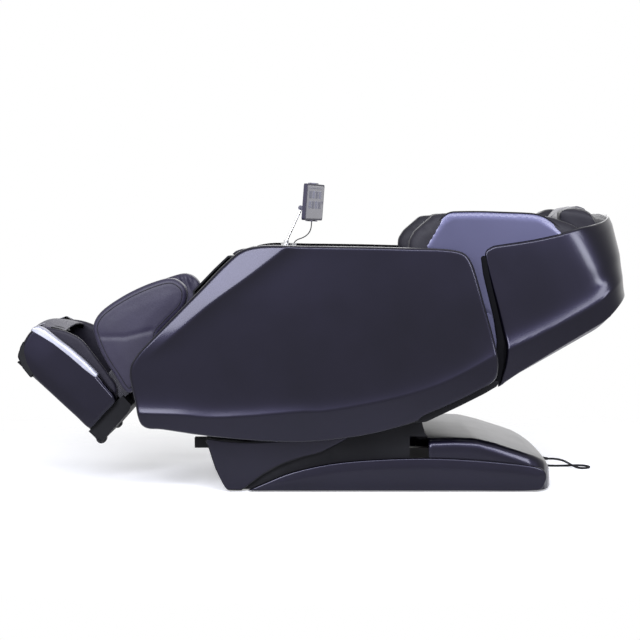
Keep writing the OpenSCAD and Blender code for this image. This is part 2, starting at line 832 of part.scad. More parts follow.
module guide_rails() {
    color(bright) in_back() both_sides() difference() {
        slab([97, rail_y, -10], [587.5, rail_y + 14, 12]);
        slab([90, rail_y + 4, -4], [600, rail_y + 15, 6]);
    }
    color(bright) in_back() both_sides() for (x = [84, 600])
        translate([x, rail_y + 3, 12 + seat_gap]) cube([10, 8, 12], center = false);
}

module massage_carriage() {
    color(dark) in_back() difference() {
        union() {
            slab([carriage_x, -carriage_half, -34], [carriage_x + carriage_l, carriage_half, -26]);
            both_sides() slab([carriage_x, carriage_half - 7, -34], [carriage_x + carriage_l, carriage_half, 34]);
            both_sides() slab([carriage_x + 14, 20, -84], [carriage_x + carriage_l - 14, 84, -33]);
        }
        bar_y(knead_x, knead_z, knead_shaft_r + run_gap, -carriage_half - 1, carriage_half + 1);
    }
}

module kneading_rollers() {
    color(bright) in_back() {
        bar_y(knead_x, knead_z, knead_shaft_r, -carriage_half + 1, carriage_half - 1);
        for (s = [-1, 1]) translate([knead_x + 6 * s, s * 62, knead_z]) rotate([90, 0, 0])
            rotate_extrude() polygon([[0, -12], [22, -12], [34, -6], [36, 0], [34, 6], [22, 12], [0, 12]]);
    }
}

// ---------- leg and foot rest ----------

module leg_frame() {
    color(steel) difference() {
        union() {
            in_leg() {
                bar_y(0, 0, pivot_r + 8, -back_plate_y, back_plate_y);
                both_sides() {
                    plate([[16, -14], [14, 14], [-30, 14], [-252, 8], [-252, -34], [-30, -22]],
                          150, 150 + plate_t);
                    translate([-256, rod_y, rod_z]) rotate([0, 90, 0]) cylinder(r = slide_r + 4, h = foot_travel + 56);
                    slab([-240, 150, 8], [-200, leg_half - calf_pad_t - seat_gap, 14]);
                }
                for (x = [-252, -90]) slab([x, -151, -34], [x + plate_t, 151, 8]);
                slab([-251, -180, 7], [-60, 180, 14]);
                slab([-250, -150, -38], [-70, 150, -33]);
            }
            translate([knee_x, 0, knee_z]) rotate([0, -knee_lean, 0])
                lever(knee_pin_h, knee_pin_h / cos(knee_swing) + 1, lever_w, lever_t);
        }
        bar_y(knee_x, knee_z, pivot_r + run_gap, -back_plate_y - 1, back_plate_y + 1);
        in_leg() both_sides() translate([-260, rod_y, rod_z]) rotate([0, 90, 0])
            cylinder(r = slide_r + run_gap, h = foot_travel + 64);
    }
}

module calf_pad() {
    color(hide) in_leg() plate(calf_outline, leg_half - calf_pad_t, leg_half);
}

module calf_pad_right() {
    calf_pad();
}

module calf_pad_left() {
    mirror([0, 1, 0]) calf_pad();
}

module calf_cushion() {
    half = leg_half - calf_pad_t - 2;
    color(hide) in_leg() {
        slab([-248, -half, 14 + seat_gap], [-62, half, 44]);
        plate([[-240, 40], [-232, 118], [-190, 130], [-100, 112], [-70, 40]], -38, 38);
    }
}

module foot_frame() {
    color(dark) in_leg() difference() {
        union() {
            plate(heel_outline, -205, 205);
            slab([sole_x, -205, -10], [sole_x + 4, 205, 300]);
            both_sides() translate([-290, rod_y, rod_z]) rotate([0, 90, 0]) cylinder(r = slide_r, h = foot_travel + 70);
            for (y = [-150, -4, 142]) slab([sole_x + 3, y, roller_z - 10], [roller_x + 8, y + 8, roller_z + 10]);
        }
        bar_y(roller_x, roller_z, 4 + run_gap, -206, 206);
        bar_y(floor_wheel_x, floor_wheel_z, 4 + run_gap, -206, 206);
        both_sides() slab([-446, 146, -70], [floor_wheel_x + floor_wheel_r + 2, 174, floor_wheel_z + floor_wheel_r + 2]);
    }
}

module foot_side() {
    color(paint) in_leg() difference() {
        plate(foot_outline, 205 + seat_gap, foot_half);
        inset_plate(foot_outline, 205, foot_half - wall, wall);
    }
}

module foot_side_right() {
    foot_side();
}

module foot_side_left() {
    mirror([0, 1, 0]) foot_side();
}

module toe_cap() {
    color(paint) in_leg() plate([[-413, 302], [-406, 312], [-382, 322], [-341, 331], [-306, 332], [-305, 322],
                                 [-341, 321], [-380, 310], [-404, 298]], -205, 205);
}

module foot_cushion() {
    color(hide) in_leg() {
        slab([roller_x + roller_r + seat_gap, -204, 4], [roller_x + roller_r + 12, 204, 292]);
        both_sides() slab([roller_x + roller_r + 10, 188, 4], [-306, 204, 280]);
        slab([roller_x + roller_r + 10, -22, 4], [-312, 22, 270]);
    }
}

module foot_rollers() {
    color(bright) in_leg() {
        bar_y(roller_x, roller_z, 4, -160, 160);
        for (y = [-112, -84, -56, 40, 68, 96]) bar_y(roller_x, roller_z, roller_r, y, y + 16);
    }
}

module floor_wheels() {
    color(rubber) in_leg() {
        bar_y(floor_wheel_x, floor_wheel_z, 4, -180, 180);
        both_sides() bar_y(floor_wheel_x, floor_wheel_z, floor_wheel_r, 151, 169);
    }
}

base_frame();
base_column();
base_dome();
base_side_left();
base_side_right();
base_feet();
tilt_actuator();
stop_blocks();
power_panel();
cord_gland();
power_cord();
cord_coil();
power_plug();
transport_wheels();
power_switch();
tilt_rod();
seat_frame();
side_panel_left();
side_panel_right();
side_liners();
arm_shell_left();
arm_shell_right();
arm_pad_left();
arm_pad_right();
seat_cushion();
under_tray();
control_box();
air_pump();
back_actuator();
leg_actuator();
pivot_shafts();
back_rod();
leg_rod();
tablet_stand();
tablet_case();
tablet_cradle();
tablet_cable();
back_frame();
back_cover();
back_side_left();
back_side_right();
wing_left();
wing_right();
back_cushion();
head_pillow();
rear_cap();
guide_rails();
massage_carriage();
kneading_rollers();
leg_frame();
calf_pad_left();
calf_pad_right();
calf_cushion();
foot_frame();
foot_side_left();
foot_side_right();
toe_cap();
foot_cushion();
foot_rollers();
floor_wheels();
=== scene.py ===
"""Looks of the reclining massage chair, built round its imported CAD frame."""

import json
import math

import bmesh
import bpy
import numpy as np
from mathutils import Matrix, Vector
from mathutils.bvhtree import BVHTree
from mathutils.geometry import delaunay_2d_cdt

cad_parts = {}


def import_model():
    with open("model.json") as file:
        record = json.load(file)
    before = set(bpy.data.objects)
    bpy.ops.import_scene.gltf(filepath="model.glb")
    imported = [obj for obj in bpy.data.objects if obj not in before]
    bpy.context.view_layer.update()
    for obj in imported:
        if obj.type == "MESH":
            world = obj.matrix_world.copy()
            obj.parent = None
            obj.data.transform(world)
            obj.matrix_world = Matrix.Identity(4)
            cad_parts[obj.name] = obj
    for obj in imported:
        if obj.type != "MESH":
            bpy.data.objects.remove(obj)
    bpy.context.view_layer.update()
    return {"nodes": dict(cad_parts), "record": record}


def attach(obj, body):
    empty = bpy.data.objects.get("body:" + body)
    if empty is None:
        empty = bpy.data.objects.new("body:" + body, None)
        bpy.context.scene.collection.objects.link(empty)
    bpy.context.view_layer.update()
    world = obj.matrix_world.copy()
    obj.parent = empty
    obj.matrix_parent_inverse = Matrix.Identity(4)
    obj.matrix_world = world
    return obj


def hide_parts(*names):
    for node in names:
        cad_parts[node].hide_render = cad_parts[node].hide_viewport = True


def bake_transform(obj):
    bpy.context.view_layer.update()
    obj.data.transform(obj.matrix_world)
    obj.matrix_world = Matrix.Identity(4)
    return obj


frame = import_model()
nodes = frame["nodes"]
scene = bpy.context.scene
MM = 0.001

# ---------------------------------------------------------------- camera

camera = bpy.data.objects.new("camera", bpy.data.cameras.new("camera"))
scene.collection.objects.link(camera)
camera.location = (-0.023, -4.2, 0.7763)
camera.rotation_euler = (math.radians(90 - 3.8626), 0, 0)
camera.data.sensor_width = 36
camera.data.lens = 74.98
scene.camera = camera


# ---------------------------------------------------------------- materials


def material(name, scale, detail, low, high, dark, light, **inputs):
    """A material whose colour drifts between two values: (material, node tree, shader)."""
    mat = bpy.data.materials.new(name)
    mat.use_nodes = True
    tree = mat.node_tree
    p = tree.nodes["Principled BSDF"]
    tree.links.new(ramp(tree, noise(tree, scale, detail), [(low, dark), (high, light)]), p.inputs["Base Color"])
    for k, v in inputs.items():
        p.inputs[k.replace("_", " ")].default_value = v
    return mat, tree, p


def add(tree, kind, **inputs):
    n = tree.nodes.new(kind)
    for k, v in inputs.items():
        if k in n.inputs:
            n.inputs[k].default_value = v
        else:
            setattr(n, k, v)
    return n


def object_coords(tree):
    return tree.nodes.new("ShaderNodeTexCoord").outputs["Object"]


def noise(tree, scale, detail=3, rough=0.5):
    n = add(tree, "ShaderNodeTexNoise", Scale=scale, Detail=detail, Roughness=rough)
    tree.links.new(object_coords(tree), n.inputs["Vector"])
    return n.outputs["Fac"]


def ramp(tree, fac, stops):
    r = tree.nodes.new("ShaderNodeValToRGB")
    for e, (p, c) in zip(r.color_ramp.elements, stops):
        e.position = p
        e.color = (*c, 1)
    tree.links.new(fac, r.inputs["Fac"])
    return r.outputs["Color"]


def rough_range(tree, shader, fac, low, high):
    m = tree.nodes.new("ShaderNodeMapRange")
    m.inputs["To Min"].default_value = low
    m.inputs["To Max"].default_value = high
    tree.links.new(fac, m.inputs["Value"])
    tree.links.new(m.outputs["Result"], shader.inputs["Roughness"])


def bump(tree, shader, height, strength, distance, under=None):
    b = tree.nodes.new("ShaderNodeBump")
    b.inputs["Strength"].default_value = strength
    b.inputs["Distance"].default_value = distance
    tree.links.new(height, b.inputs["Height"])
    if under is not None:
        tree.links.new(under, b.inputs["Normal"])
    tree.links.new(b.outputs["Normal"], shader.inputs["Normal"])
    return b.outputs["Normal"]


def coated_paint(name, dark, light, metal, rough):
    """Metallic paint under clear coat: fine flakes, slow colour drift and a trace of orange peel."""
    mat, tree, p = material(name, 3.5, 2, 0.3, 0.7, dark, light, Metallic=metal, Coat_Weight=0.34,
                            Coat_Roughness=0.16)
    rough_range(tree, p, noise(tree, 14, 4), rough - 0.03, rough + 0.04)
    peel = bump(tree, p, noise(tree, 260, 2), 0.05, 0.0004)
    bump(tree, p, noise(tree, 2600, 1), 0.06, 0.0002, peel)
    return mat


def leather(name, dark, light, rough=0.46, grain=420, depth=0.28, spec=0.3):
    """Synthetic leather: pebbled grain from two cell sizes, soft creases and worn high spots."""
    mat, tree, p = material(name, 9, 4, 0.3, 0.72, dark, light, Sheen_Weight=0.04, Sheen_Roughness=0.4,
                            Specular_IOR_Level=spec)
    cells = add(tree, "ShaderNodeTexVoronoi", Scale=grain, feature="SMOOTH_F1")
    fine = add(tree, "ShaderNodeTexVoronoi", Scale=grain * 2.3, feature="F1")
    pebbles = add(tree, "ShaderNodeMath", operation="ADD")
    for i, v in enumerate((cells, fine)):
        tree.links.new(object_coords(tree), v.inputs["Vector"])
        tree.links.new(v.outputs["Distance"], pebbles.inputs[i])
    rough_range(tree, p, noise(tree, 30, 4), rough - 0.06, rough + 0.1)
    crease = bump(tree, p, noise(tree, 24, 5, 0.6), 0.16, 0.004)
    bump(tree, p, pebbles.outputs[0], depth, 0.0006, crease)
    return mat


def plastic(name, dark, light, rough=0.55, grain=900, depth=0.12, spec=0.22):
    """Moulded plastic with a fine spark-eroded grain."""
    mat, tree, p = material(name, 12, 3, 0.3, 0.75, dark, light, Specular_IOR_Level=spec)
    rough_range(tree, p, noise(tree, 45, 4), rough - 0.06, rough + 0.07)
    bump(tree, p, noise(tree, grain, 3, 0.6), depth, 0.0004)
    return mat


def metal(name, dark, light, rough=0.3, stretch=(40, 900, 900), depth=0.1):
    """Brushed or ground metal, its scratches drawn out along one axis."""
    mat, tree, p = material(name, 25, 3, 0.35, 0.7, dark, light, Metallic=1.0)
    place = add(tree, "ShaderNodeMapping", Scale=stretch)
    tree.links.new(object_coords(tree), place.inputs["Vector"])
    lines = add(tree, "ShaderNodeTexNoise", Scale=1.0, Detail=3.0)
    tree.links.new(place.outputs["Vector"], lines.inputs["Vector"])
    rough_range(tree, p, lines.outputs["Fac"], rough - 0.08, rough + 0.1)
    bump(tree, p, lines.outputs["Fac"], depth, 0.0003)
    return mat


def powder_coat(name, dark, light):
    mat, tree, p = material(name, 18, 3, 0.3, 0.75, dark, light)
    rough_range(tree, p, noise(tree, 60, 4), 0.42, 0.58)
    bump(tree, p, noise(tree, 700, 2), 0.25, 0.0006)
    return mat


def ribbed_cloth(name, dark, light):
    """Knitted fabric: fine ribs over a slow colour drift."""
    mat, tree, p = material(name, 22, 4, 0.3, 0.75, dark, light, Roughness=0.85, Sheen_Weight=0.25)
    rib = add(tree, "ShaderNodeTexWave", Scale=420.0, Distortion=1.2, Detail=1.0)
    tree.links.new(object_coords(tree), rib.inputs["Vector"])
    bump(tree, p, rib.outputs["Fac"], 0.3, 0.0005)
    return mat


def glass_front(name, dark, light):
    mat, tree, p = material(name, 30, 3, 0.3, 0.75, dark, light, Coat_Weight=0.6, Coat_Roughness=0.04)
    rough_range(tree, p, noise(tree, 40, 4), 0.1, 0.17)
    return mat


paint = coated_paint("plum_paint", (0.0056, 0.0050, 0.0125), (0.0072, 0.0063, 0.0155), 0.94, 0.34)
# the wings' paint: the plum paint made several times lighter, a painted highlight for the light the wings'
# upturned faces catch
wing_paint_painted_highlight = coated_paint("plum_paint_wing_painted_highlight", (0.043, 0.043, 0.084), (0.052, 0.052, 0.098), 0.8, 0.44)
hide = leather("plum_leather", (0.008, 0.007, 0.013), (0.012, 0.0105, 0.019), 0.5, 420, 0.28, 0.2)
hide_smooth = leather("plum_leather_smooth", (0.019, 0.0165, 0.032), (0.024, 0.021, 0.040), 0.44, 700, 0.12,
                      0.24)
hide_dark = leather("black_leather", (0.007, 0.0065, 0.010), (0.011, 0.010, 0.015), 0.5, 420, 0.28, 0.2)
thread = ribbed_cloth("stitch_thread", (0.03, 0.027, 0.045), (0.05, 0.045, 0.07))
gusset_cloth = ribbed_cloth("gusset_cloth", (0.03, 0.028, 0.036), (0.05, 0.047, 0.058))
black = plastic("black_plastic", (0.004, 0.004, 0.0052), (0.0065, 0.0065, 0.008), 0.56, spec=0.12)
# near-black, darker and duller than the black plastic: painted shade, for the plate in the gap before the
# back's side covers, the side liners and the tray under the chair
painted_shade_black = plastic("painted_shade_plastic", (0.002, 0.002, 0.0027), (0.0035, 0.0035, 0.0045), 0.7, spec=0.05)
plum_plastic = plastic("plum_plastic", (0.030, 0.027, 0.046), (0.038, 0.034, 0.056), 0.4, 1200, 0.08)
grey_plastic = plastic("grey_plastic", (0.14, 0.135, 0.17), (0.17, 0.165, 0.205), 0.4, 1200, 0.06)
silver = metal("silver_trim", (0.25, 0.255, 0.30), (0.33, 0.335, 0.39), 0.46, (500, 500, 500), 0.3)
steel = metal("ground_steel", (0.42, 0.43, 0.45), (0.56, 0.57, 0.59), 0.26)
chrome = metal("polished_stand", (0.62, 0.62, 0.63), (0.74, 0.74, 0.75), 0.16, (300, 300, 60), 0.04)
coat = powder_coat("black_powder_coat", (0.016, 0.016, 0.018), (0.026, 0.026, 0.028))
rubber = plastic("matt_rubber", (0.006, 0.006, 0.007), (0.010, 0.010, 0.011), 0.72, 500, 0.3, 0.15)
tread = plastic("wheel_plastic", (0.018, 0.018, 0.02), (0.028, 0.028, 0.03), 0.5)
switch_red = plastic("switch_red", (0.20, 0.008, 0.008), (0.27, 0.012, 0.012), 0.3, 600, 0.05)
screen = glass_front("screen_glass", (0.105, 0.10, 0.135), (0.125, 0.12, 0.16))

FINISH = {
    "paint": paint, "dark_plastic": black, "hide": hide, "frame_steel": coat, "bright_steel": steel,
    "drive_housing": plastic("drive_housing", (0.02, 0.02, 0.022), (0.03, 0.03, 0.033), 0.55),
    "silver_plastic": grey_plastic, "roller_plastic": tread, "switch_red": switch_red, "rubber": rubber,
}
for row in frame["record"]["subparts"]:
    node = nodes[row["node"]]
    node.data.materials.clear()
    node.data.materials.append(FINISH[row["material_slot"]])
# the side liners and the under tray take the painted-shade black
own_finish = {"tablet_case": plum_plastic, "tablet_stand": chrome, "side_liners": painted_shade_black, "under_tray": painted_shade_black}
for name, mat in own_finish.items():
    nodes[name].data.materials[0] = mat


# ---------------------------------------------------------------- outlines and surfaces


def link(name, mesh, mat):
    obj = bpy.data.objects.new(name, mesh)
    scene.collection.objects.link(obj)
    mesh.materials.append(mat)
    return obj


def mesh_object(name, verts, faces, mat, smooth=True):
    mesh = bpy.data.meshes.new(name)
    mesh.from_pydata([tuple(v) for v in np.asarray(verts, float) * MM], [], [tuple(f) for f in faces])
    mesh.validate()
    mesh.shade_smooth() if smooth else mesh.shade_flat()
    return link(name, mesh, mat)


def catmull(points, closed, per=12):
    """A smooth curve through the points, evenly weighted so that it doesn't overshoot."""
    p = np.asarray(points, float)
    n = len(p)
    out = []
    for i in range(n if closed else n - 1):
        a, b, c, d = (p[k % n if closed else min(max(k, 0), n - 1)] for k in range(i - 1, i + 3))
        t1 = max(np.linalg.norm(b - a), 1e-6) ** 0.5
        t2 = t1 + max(np.linalg.norm(c - b), 1e-6) ** 0.5
        t3 = t2 + max(np.linalg.norm(d - c), 1e-6) ** 0.5
        for k in range(per):
            t = t1 + (t2 - t1) * k / per
            a1 = (t1 - t) / t1 * a + t / t1 * b
            a2 = (t2 - t) / (t2 - t1) * b + (t - t1) / (t2 - t1) * c
            a3 = (t3 - t) / (t3 - t2) * c + (t - t2) / (t3 - t2) * d
            b1 = (t2 - t) / t2 * a1 + t / t2 * a2
            b2 = (t3 - t) / (t3 - t1) * a2 + (t - t1) / (t3 - t1) * a3
            out.append((t2 - t) / (t2 - t1) * b1 + (t - t1) / (t2 - t1) * b2)
    if not closed:
        out.append(p[-1])
    return np.array(out)


def even(points, step, closed=True):
    """The same curve with its points about step apart."""
    p = np.asarray(points, float)
    if closed:
        p = np.vstack([p, p[:1]])
    along = np.concatenate([[0], np.cumsum(np.linalg.norm(np.diff(p, axis=0), axis=1))])
    n = max(8, int(round(along[-1] / step)))
    s = np.linspace(0, along[-1], n + 1)
    q = np.stack([np.interp(s, along, p[:, k]) for k in range(p.shape[1])], 1)
    return q[:-1] if closed else q


def area2(p):
    x, z = p[:, 0], p[:, 1]
    return 0.5 * np.sum(x * np.roll(z, -1) - np.roll(x, -1) * z)


def smooth_outline(points, step=7):
    q = even(catmull(points, True), step)
    return q if area2(q) > 0 else q[::-1]


def rounded(points, radius, step=6):
    """A polygon with its corners rounded."""
    p = np.asarray(points, float)
    if area2(p) < 0:
        p = p[::-1]
    n, out = len(p), []
    for i in range(n):
        a, b, c = p[i - 1], p[i], p[(i + 1) % n]
        u, w = (a - b), (c - b)
        r = min(radius, 0.45 * np.linalg.norm(u), 0.45 * np.linalg.norm(w))
        s, e = b + u / np.linalg.norm(u) * r, b + w / np.linalg.norm(w) * r
        for t in np.linspace(0, 1, 9):
            out.append((1 - t) ** 2 * s + 2 * t * (1 - t) * b + t * t * e)
    return even(np.array(out), step)


def to_line(q, line, closed=False):
    """(distance, side, share along) from each point to a polyline; side is +1 on its left."""
    p = np.asarray(line, float)
    if closed:
        p = np.vstack([p, p[:1]])
    seg = np.linalg.norm(np.diff(p, axis=0), axis=1)
    start = np.concatenate([[0], np.cumsum(seg)])
    best = np.full(len(q), 1e9)
    side = np.ones(len(q))
    share = np.zeros(len(q))
    for i in range(len(p) - 1):
        a, d = p[i], p[i + 1] - p[i]
        t = np.clip(((q - a) @ d) / max(d @ d, 1e-12), 0, 1)
        off = q - a - t[:, None] * d
        dist = np.linalg.norm(off, axis=1)
        near = dist < best
        best = np.where(near, dist, best)
        cross = d[0] * (q[:, 1] - a[1]) - d[1] * (q[:, 0] - a[0])
        side = np.where(near, np.sign(cross), side)
        share = np.where(near, (start[i] + t * seg[i]) / start[-1], share)
    return best, side, share


def inside(q, outline):
    x, z = q[:, 0], q[:, 1]
    hit = np.zeros(len(q), bool)
    for a, b in zip(outline, np.roll(outline, -1, axis=0)):
        between = (a[1] > z) != (b[1] > z)
        with np.errstate(divide="ignore", invalid="ignore"):
            crossing_x = (b[0] - a[0]) * (z - a[1]) / (b[1] - a[1]) + a[0]
        hit ^= between & (x < crossing_x)
    return hit


def inset(outline, d):
    """Points d inside the outline, those that would cross another edge left out."""
    t = np.roll(outline, -1, axis=0) - np.roll(outline, 1, axis=0)
    t /= np.linalg.norm(t, axis=1)[:, None]
    q = outline + d * np.stack([-t[:, 1], t[:, 0]], 1)
    dist, _, _ = to_line(q, outline, True)
    return q[(dist > 0.93 * d) & inside(q, outline)]


def fill(outline, step, rings, lines=()):
    """Triangles over the outline, with rows of points at given distances from its edge and along lines."""
    n = len(outline)
    groups = [outline] + [inset(outline, d) for d in rings]
    reach = max(rings)
    lo, hi = outline.min(0), outline.max(0)
    rows = np.arange(lo[1], hi[1] + step, step * 0.866)
    grid = []
    for i, z in enumerate(rows):
        xs = np.arange(lo[0] + (step / 2 if i % 2 else 0), hi[0], step)
        grid.append(np.stack([xs, np.full(len(xs), z)], 1))
    grid = np.vstack(grid)
    grid = grid[inside(grid, outline)]
    dist, _, _ = to_line(grid, outline, True)
    grid = grid[dist > reach + 0.6 * step]
    for line in lines:
        pts = even(line, step * 0.8, False)
        pts = pts[inside(pts, outline)]
        dist, _, _ = to_line(pts, outline, True)
        pts = pts[dist > reach + 0.4 * step]
        dist, _, _ = to_line(grid, line)
        grid = grid[dist > 0.45 * step]
        groups.append(pts)
    groups.append(grid)
    pts = np.vstack([g for g in groups if len(g)])
    edges = [(i, (i + 1) % n) for i in range(n)]
    v, _, f, orig, _, _ = delaunay_2d_cdt([Vector(p) for p in pts], edges, [], 1, 1e-4)
    v = np.array([tuple(p) for p in v])
    faces = []
    for t in f:
        a, b, c = v[t[0]], v[t[1]], v[t[2]]
        cross = (b[0] - a[0]) * (c[1] - a[1]) - (b[1] - a[1]) * (c[0] - a[0])
        faces.append(tuple(t) if cross > 0 else tuple(reversed(t)))
    ring = [None] * n
    for i, o in enumerate(orig):
        for k in o:
            if k < n:
                ring[k] = i
    return v, faces, ring


def roll_off(e, r):
    """How far a rounded edge of radius r falls back at distance e from the edge."""
    t = np.clip(1 - np.asarray(e) / r, 0, 1)
    return r * (1 - np.sqrt(1 - t * t))


def step_up(x, a, b):
    t = np.clip((np.asarray(x, float) - a) / (b - a), 0, 1)
    return t * t * (3 - 2 * t)


def world(points):
    return points


def tilted(degrees, x0, z0):
    """A function that takes points of a tilted frame with its origin at (x0, z0) into the world's."""
    a = math.radians(degrees)

    def place(points):
        x, y, z = np.asarray(points, float).T
        return np.stack([x0 + x * math.cos(a) - z * math.sin(a), y, z0 + x * math.sin(a) + z * math.cos(a)], 1)

    return place


in_back = tilted(30, 300, 330)
in_leg = tilted(47, -430, 480)
in_seat = tilted(-16, 230, 392)


def flat(y):
    """A panel's face or wall at one Y."""
    return lambda q, e=None: np.full(len(q), float(y))


def panel(name, outline, face, back, mat, place=world, side=1, step=9, radius=6, lines=(), back_face=None):
    """A moulded panel over an X-Z outline. face(points, distance from the edge) gives its outer Y,
    back(points) the Y its walls run to. side is -1 for the chair's left."""
    v, front, ring = fill(outline, step, [radius * t for t in (0.04, 0.15, 0.32, 0.55, 0.85, 1.25)], lines)
    e, _, _ = to_line(v, outline, True)
    y = face(v, e) - roll_off(e, radius)
    edge = v[ring]
    y_edge, y_back = y[ring], back(edge)
    verts = [np.stack([v[:, 0], y, v[:, 1]], 1)]
    faces = [tuple(reversed(t)) for t in front]
    prev, base, n = ring, len(v), len(ring)
    for s in (0.5, 1.0):
        verts.append(np.stack([edge[:, 0], y_edge + (y_back - y_edge) * s, edge[:, 1]], 1))
        for i in range(n):
            j = (i + 1) % n
            faces.append((prev[i], prev[j], base + j, base + i))
        prev, base = range(base, base + n), base + n
    if back_face is not None:
        verts.append(np.stack([v[:, 0], back_face(v, e), v[:, 1]], 1))
        verts[-1][ring, 1] = y_back
        faces += [tuple(base + k for k in t) for t in front]
        for i in range(n):
            j = (i + 1) % n
            faces.append((prev[i], prev[j], base + ring[j], base + ring[i]))
    obj = mesh_object(name, place(np.vstack(verts) * [1, side, 1]), faces, mat)
    weld(obj)
    return obj


def weld(obj, dist=0.00002):
    bm = bmesh.new()
    bm.from_mesh(obj.data)
    bmesh.ops.remove_doubles(bm, verts=bm.verts, dist=dist)
    bmesh.ops.recalc_face_normals(bm, faces=bm.faces)
    bm.to_mesh(obj.data)
    bm.free()


def grid_faces(rows, cols, closed=False):
    out = []
    for i in range(rows - 1):
        for j in range(cols if closed else cols - 1):
            k = (j + 1) % cols
            out.append((i * cols + j, i * cols + k, (i + 1) * cols + k, (i + 1) * cols + j))
    return out


def put(obj, body, slot=None, *stands_for):
    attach(obj, body)
    if stands_for:
        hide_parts(*stands_for)
    return obj


SIDES = (("right", 1), ("left", -1))


def both(name, outline, face, back, mat, body, slot=None, stands=None, **more):
    """The same moulded panel on the chair's right and left."""
    for word, s in SIDES:
        o = panel(f"{name}_{word}", outline, face, back, mat, side=s, **more)
        put(o, body, slot, *([f"{stands}_{word}"] if stands else []))


def soft(obj, body, fill_share, *stands_for):
    put(obj, body, "hide", *stands_for)
# ---------------------------------------------------------------- cords

CABLE = [[-51.7, 318.6, 801.9], [-51.9, 318.5, 794], [-52.6, 318.3, 785], [-55.2, 318.1, 775],
    [-61, 318, 765], [-71, 318, 756], [-81, 318, 750], [-91, 318, 747], [-101, 318, 744], [-108, 318, 739],
    [-111, 318, 731.9]]
LEAD = [[722, 120, 30], [740, 120, 30], [758, 119, 28], [776, 115, 23], [793, 108, 14], [808, 100, 7],
    [822, 95, 3.5], [839, 95, 3.5], [853, 104, 3.5], [859, 120, 3.5], [853, 136, 3.5], [838, 146, 3.5],
    [818, 148, 3.5], [798, 144, 3.5], [776, 140, 3.5], [752, 138, 3.5], [728, 142, 3.5], [709, 156, 3.5],
    [698, 178, 3.5], [695, 205, 3.5], [694, 230, 3.5], [690, 255, 3.5], [680, 278, 3.5], [664, 296, 3.5],
    [644, 308, 3.5], [622, 314, 3.5], [602, 317, 3.5]]


def coil():
    """Six turns in two layers, from the outside in and out again, then up to the plug's tail."""
    out = []
    for a in np.arange(100, 2041, 10):
        inward = step_up(a, 390, 490) + step_up(a, 750, 850) - step_up(a, 1480, 1580) - step_up(a, 1840, 1940)
        r = 42.6 - 6.6 * inward - 4 * step_up(a, 1980, 2060)
        z = 3.5 + 7 * step_up(a, 1078, 1128) + 13.5 * step_up(a, 1925, 2038)
        out.append([590 + r * math.cos(math.radians(a)), 361 - r * math.sin(math.radians(a)), z])
    return out


def cord_curve(name, points, diameter, mat):
    curve = bpy.data.curves.new(name, "CURVE")
    curve.dimensions = "3D"
    spline = curve.splines.new("POLY")
    pts = even(catmull(points, False, 10), 3.0, False)
    for _ in range(14):
        pts[1:-1] = pts[1:-1] * 0.5 + (pts[:-2] + pts[2:]) * 0.25
    pts *= MM
    spline.points.add(len(pts) - 1)
    for p, q in zip(spline.points, pts):
        p.co = (*q, 1)
    curve.bevel_depth = diameter / 2
    curve.bevel_resolution = 4
    curve.use_fill_caps = True
    curve.materials.append(mat)
    obj = bpy.data.objects.new(name, curve)
    scene.collection.objects.link(obj)
    long = float(np.linalg.norm(np.diff(pts, axis=0), axis=1).sum())
    return obj, pts, long


LEAD_THICK = 0.007
CABLE_THICK = 0.0036
lead, lead_pts, lead_long = cord_curve("mains_lead", LEAD + coil(), LEAD_THICK, rubber)
put(lead, "base", "rubber", "power_cord", "cord_coil")


def coil_tie():
    """A band pulled round the turns of the coil."""
    a = np.linspace(0, 2 * math.pi, 33)[:-1]
    c, s = np.cos(a), np.sin(a)
    ring = np.stack([np.sign(c) * np.abs(c) ** 0.4 * 11.2, np.sign(s) * np.abs(s) ** 0.5 * 7.4], 1)
    rows = []
    for y, grow in ((-4.5, 0), (-4.5, 0.9), (4.5, 0.9), (4.5, 0)):
        g = ring * (1 + grow / 7.6) + [625.2, 7.2]
        rows.append(np.stack([g[:, 0], np.full(32, 361.0 + y), np.maximum(g[:, 1], 0.1)], 1))
    rows.append(rows[0])
    o = mesh_object("coil_tie", np.vstack(rows), grid_faces(5, 32, True), black, False)
    weld(o)
    return put(o, "base")


coil_tie()
cable, cable_pts, cable_long = cord_curve("tablet_lead", CABLE, CABLE_THICK, rubber)
put(cable, "tablet_arm", "rubber", "tablet_cable")


# ---------------------------------------------------------------- side panels

PANEL = smooth_outline([[-571, 370], [-559, 404], [-481, 491], [-366, 608], [-294, 682], [-251, 717],
    [-200, 731], [-60, 730.5], [205, 726], [362, 719], [393, 708], [411, 685], [449, 562], [484, 433],
    [490, 381], [481, 345], [419, 306], [345, 270], [270, 236], [265, 229], [150, 193], [35, 173],
    [-81, 164], [-225, 170], [-368, 185], [-483, 202], [-522, 205], [-540, 218], [-555, 275]], 7)
RIDGE = catmull([[-600, 350], [-513, 416], [-423, 491], [-331, 568], [-217, 651], [-128, 719], [-60, 775]],
    False)
CREASE = catmull([[-600, 252], [-511, 249], [-422, 246], [-333, 239], [-233, 243], [-80, 255], [-4, 258],
    [229, 304], [347, 346], [487, 422], [560, 470]], False)


def panel_face(q, e):
    d, side, share = to_line(q, RIDGE)
    up = d * side
    fade = step_up(share, 0.10, 0.34)
    facet = fade * 0.215 * (np.sqrt(up * up + 90) + up) / 2
    rise = 6.0 * fade * np.exp(-np.clip(-up, 0, None) / 20)
    d2, side2, share2 = to_line(q, CREASE)
    above = d2 * side2
    flare = 8.0 * np.exp(-np.clip(above, 0, None) / 24)
    ends = 1 - 0.25 * step_up(share2, 0.35, 0.6) * (1 - step_up(share2, 0.7, 0.95))
    below = 0.15 * (np.sqrt(above * above + 4) - above) / 2
    main = 391.0 - 4.0 * step_up(q[:, 1], 560, 740) - 2.5 * ((q[:, 0] + 40) / 520) ** 2
    y = main + np.maximum(rise, 0) * (1 - np.exp(-np.clip(above, 0, None) / 60)) + flare * ends
    return np.minimum(y - below, 399.4) - facet


